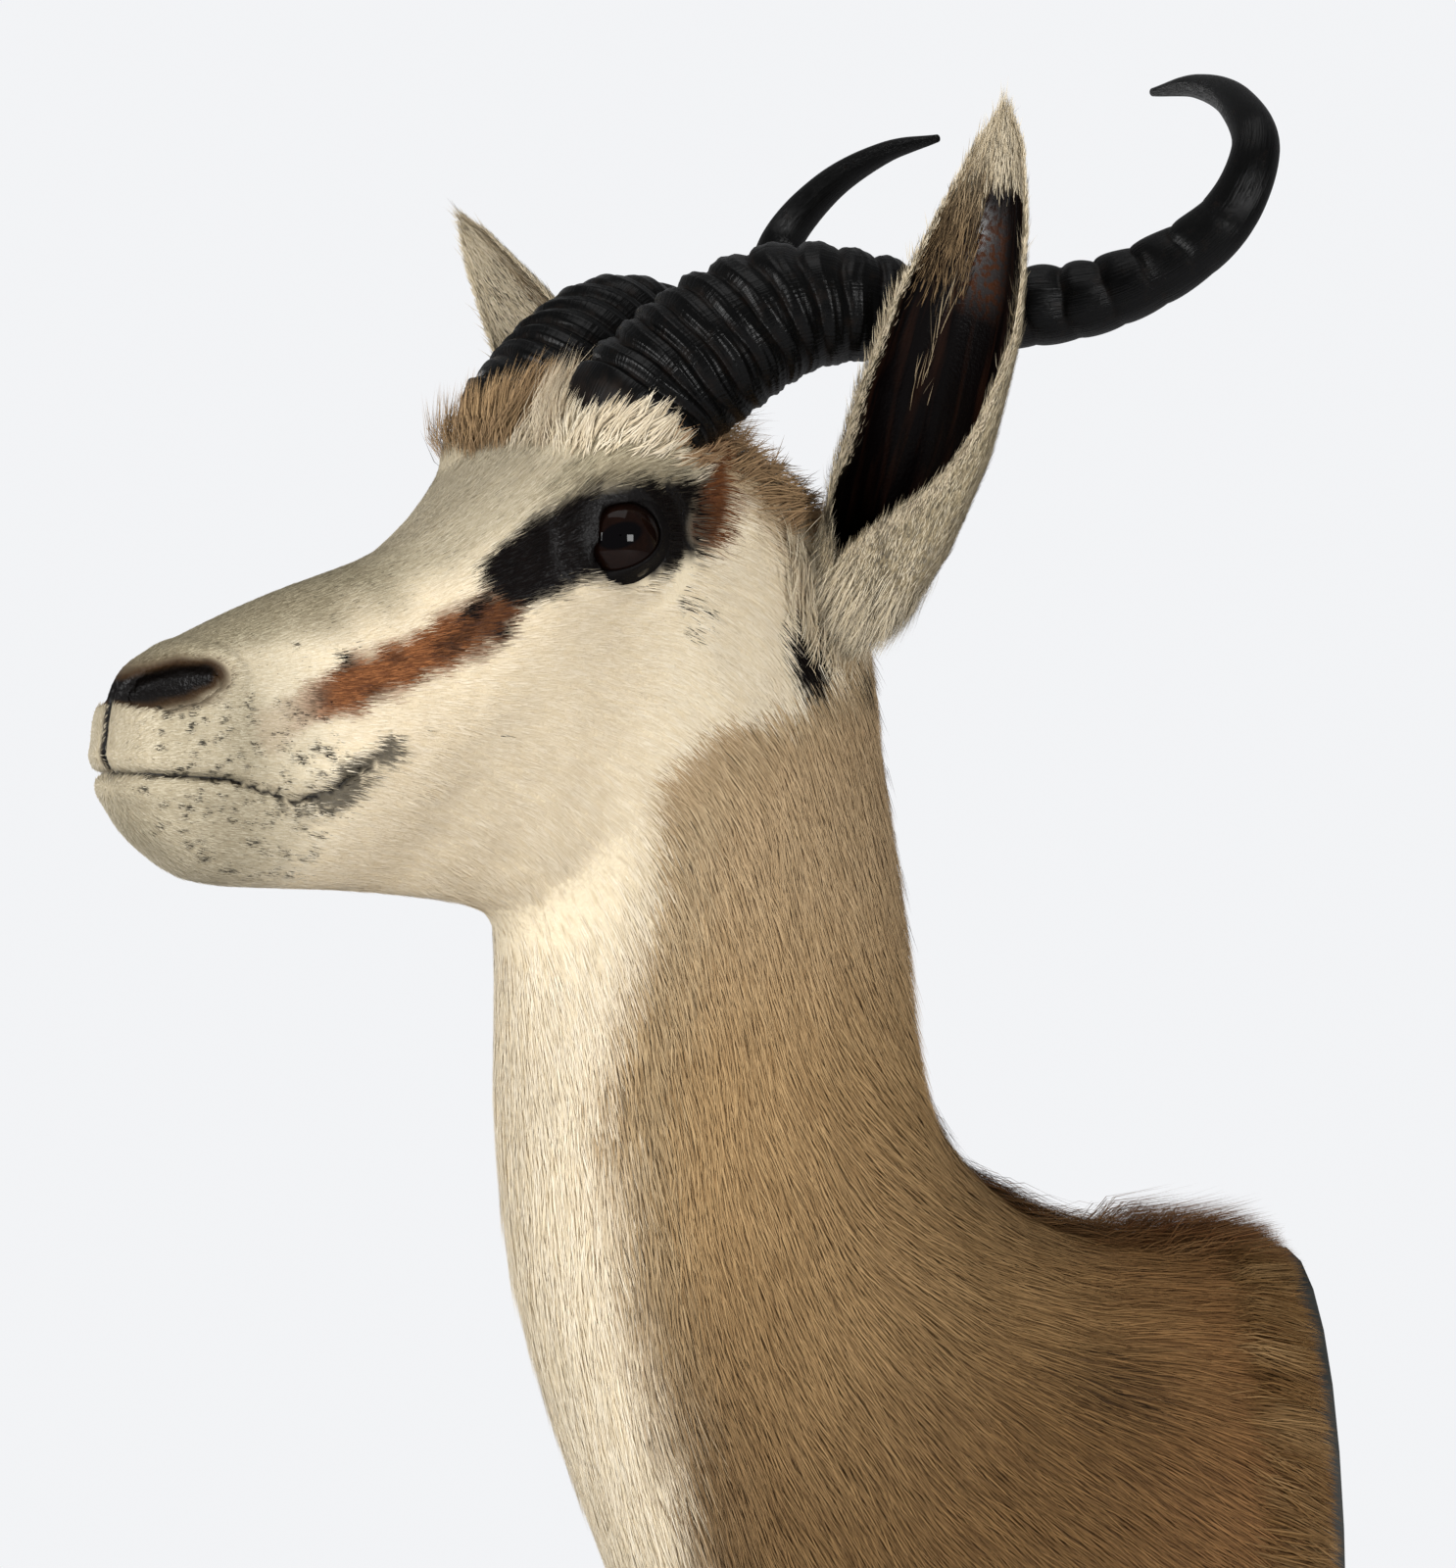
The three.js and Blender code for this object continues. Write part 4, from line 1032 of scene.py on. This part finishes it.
# The hanger: a zinc-plated sheet steel keyhole plate, let into the panel's back.
# Two screws hold it, and the mount hangs by it on one screw in the wall.
zinc = Finish("zinc_plate")
spangle = zinc.node("TexVoronoi", None, {"Vector": zinc.place(), "Scale": 260.0})
smears = zinc.noise(zinc.place(), 90.0, 6.0)
zinc.wears(
    Base_Color=zinc.blend(spangle, tint(150, 153, 156), tint(196, 199, 202)),
    Metallic=1.0,
    Roughness=0.28 + 0.3 * smears,
    Normal=zinc.bump(smears, 0.0002, 0.4),
)
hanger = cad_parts["hanger_plate"]
hanger.data.materials.clear()
hanger.data.materials.append(zinc.material)

# The studio: a pale floor below the mount, a large soft light at the nose's side, a weaker one behind the
# near shoulder, faint ones at the far side and above, and the camera level with the jaw.
FLOOR_DROP = 0.35
FLOOR_RADIUS = 1.6
FLOOR_SIDES = 64
BACKDROP_LIGHT = 0.24
BACKDROP_SEEN = 0.92
CAMERA_LENS = 95.625
CAMERA_AT = (1.24388, -0.30170, 0.235)
CAMERA_TURN = 84
LIGHTS = {
    "key": {"at": (1.76, -2.28, 0.76), "aim": (0, -0.2, 0.2), "size": 0.9, "power": 66.0},
    "fill": {"at": (1.7, 0.7, 0.5), "aim": (0, -0.15, 0.15), "size": 0.5, "power": 22.0},
    "far": {"at": (-1.9, -1.1, 0.1), "aim": (0, -0.2, 0.1), "size": 0.9, "power": 9.0},
    "top": {"at": (0.4, -0.2, 1.8), "aim": (0, -0.15, 0.2), "size": 1.0, "power": 7.0},
}

floor_finish = Finish("pale_floor")
floor_finish.wears(Base_Color=tint(228, 228, 230), Roughness=0.9)
floor_turn = np.linspace(0, 2 * math.pi, FLOOR_SIDES, endpoint=False)
floor_rim = [(FLOOR_RADIUS * math.cos(turn), FLOOR_RADIUS * math.sin(turn), -FLOOR_DROP)
             for turn in floor_turn]
floor_mesh = bpy.data.meshes.new("floor")
floor_mesh.from_pydata(floor_rim, [], [range(FLOOR_SIDES)])
floor_mesh.materials.append(floor_finish.material)
floor = bpy.data.objects.new("floor", floor_mesh)
bpy.context.scene.collection.objects.link(floor)

for name, light in LIGHTS.items():
    lamp = bpy.data.lights.new(name, "AREA")
    lamp.size = light["size"]
    lamp.energy = light["power"]
    holder = bpy.data.objects.new(name, lamp)
    holder.location = light["at"]
    holder.rotation_euler = (Vector(light["aim"]) - Vector(light["at"])).to_track_quat("-Z", "Y").to_euler()
    bpy.context.scene.collection.objects.link(holder)

world = bpy.data.worlds.new("studio")
world.use_nodes = True
backdrop = world.node_tree.nodes["Background"]
seen = world.node_tree.nodes.new("ShaderNodeLightPath")
strength = world.node_tree.nodes.new("ShaderNodeMapRange")
world.node_tree.links.new(seen.outputs["Is Camera Ray"], strength.inputs["Value"])
strength.inputs["To Min"].default_value = BACKDROP_LIGHT
strength.inputs["To Max"].default_value = BACKDROP_SEEN
world.node_tree.links.new(strength.outputs[0], backdrop.inputs["Strength"])
backdrop.inputs["Color"].default_value = (0.97, 0.98, 1.0, 1.0)
bpy.context.scene.world = world
bpy.context.scene.view_settings.view_transform = "Standard"

camera = bpy.data.objects.new("camera", bpy.data.cameras.new("camera"))
camera.data.lens = CAMERA_LENS
camera.data.sensor_width = 36.0
camera.location = CAMERA_AT
camera.rotation_euler = (math.radians(90), 0, math.radians(CAMERA_TURN))
bpy.context.scene.collection.objects.link(camera)
bpy.context.scene.camera = camera
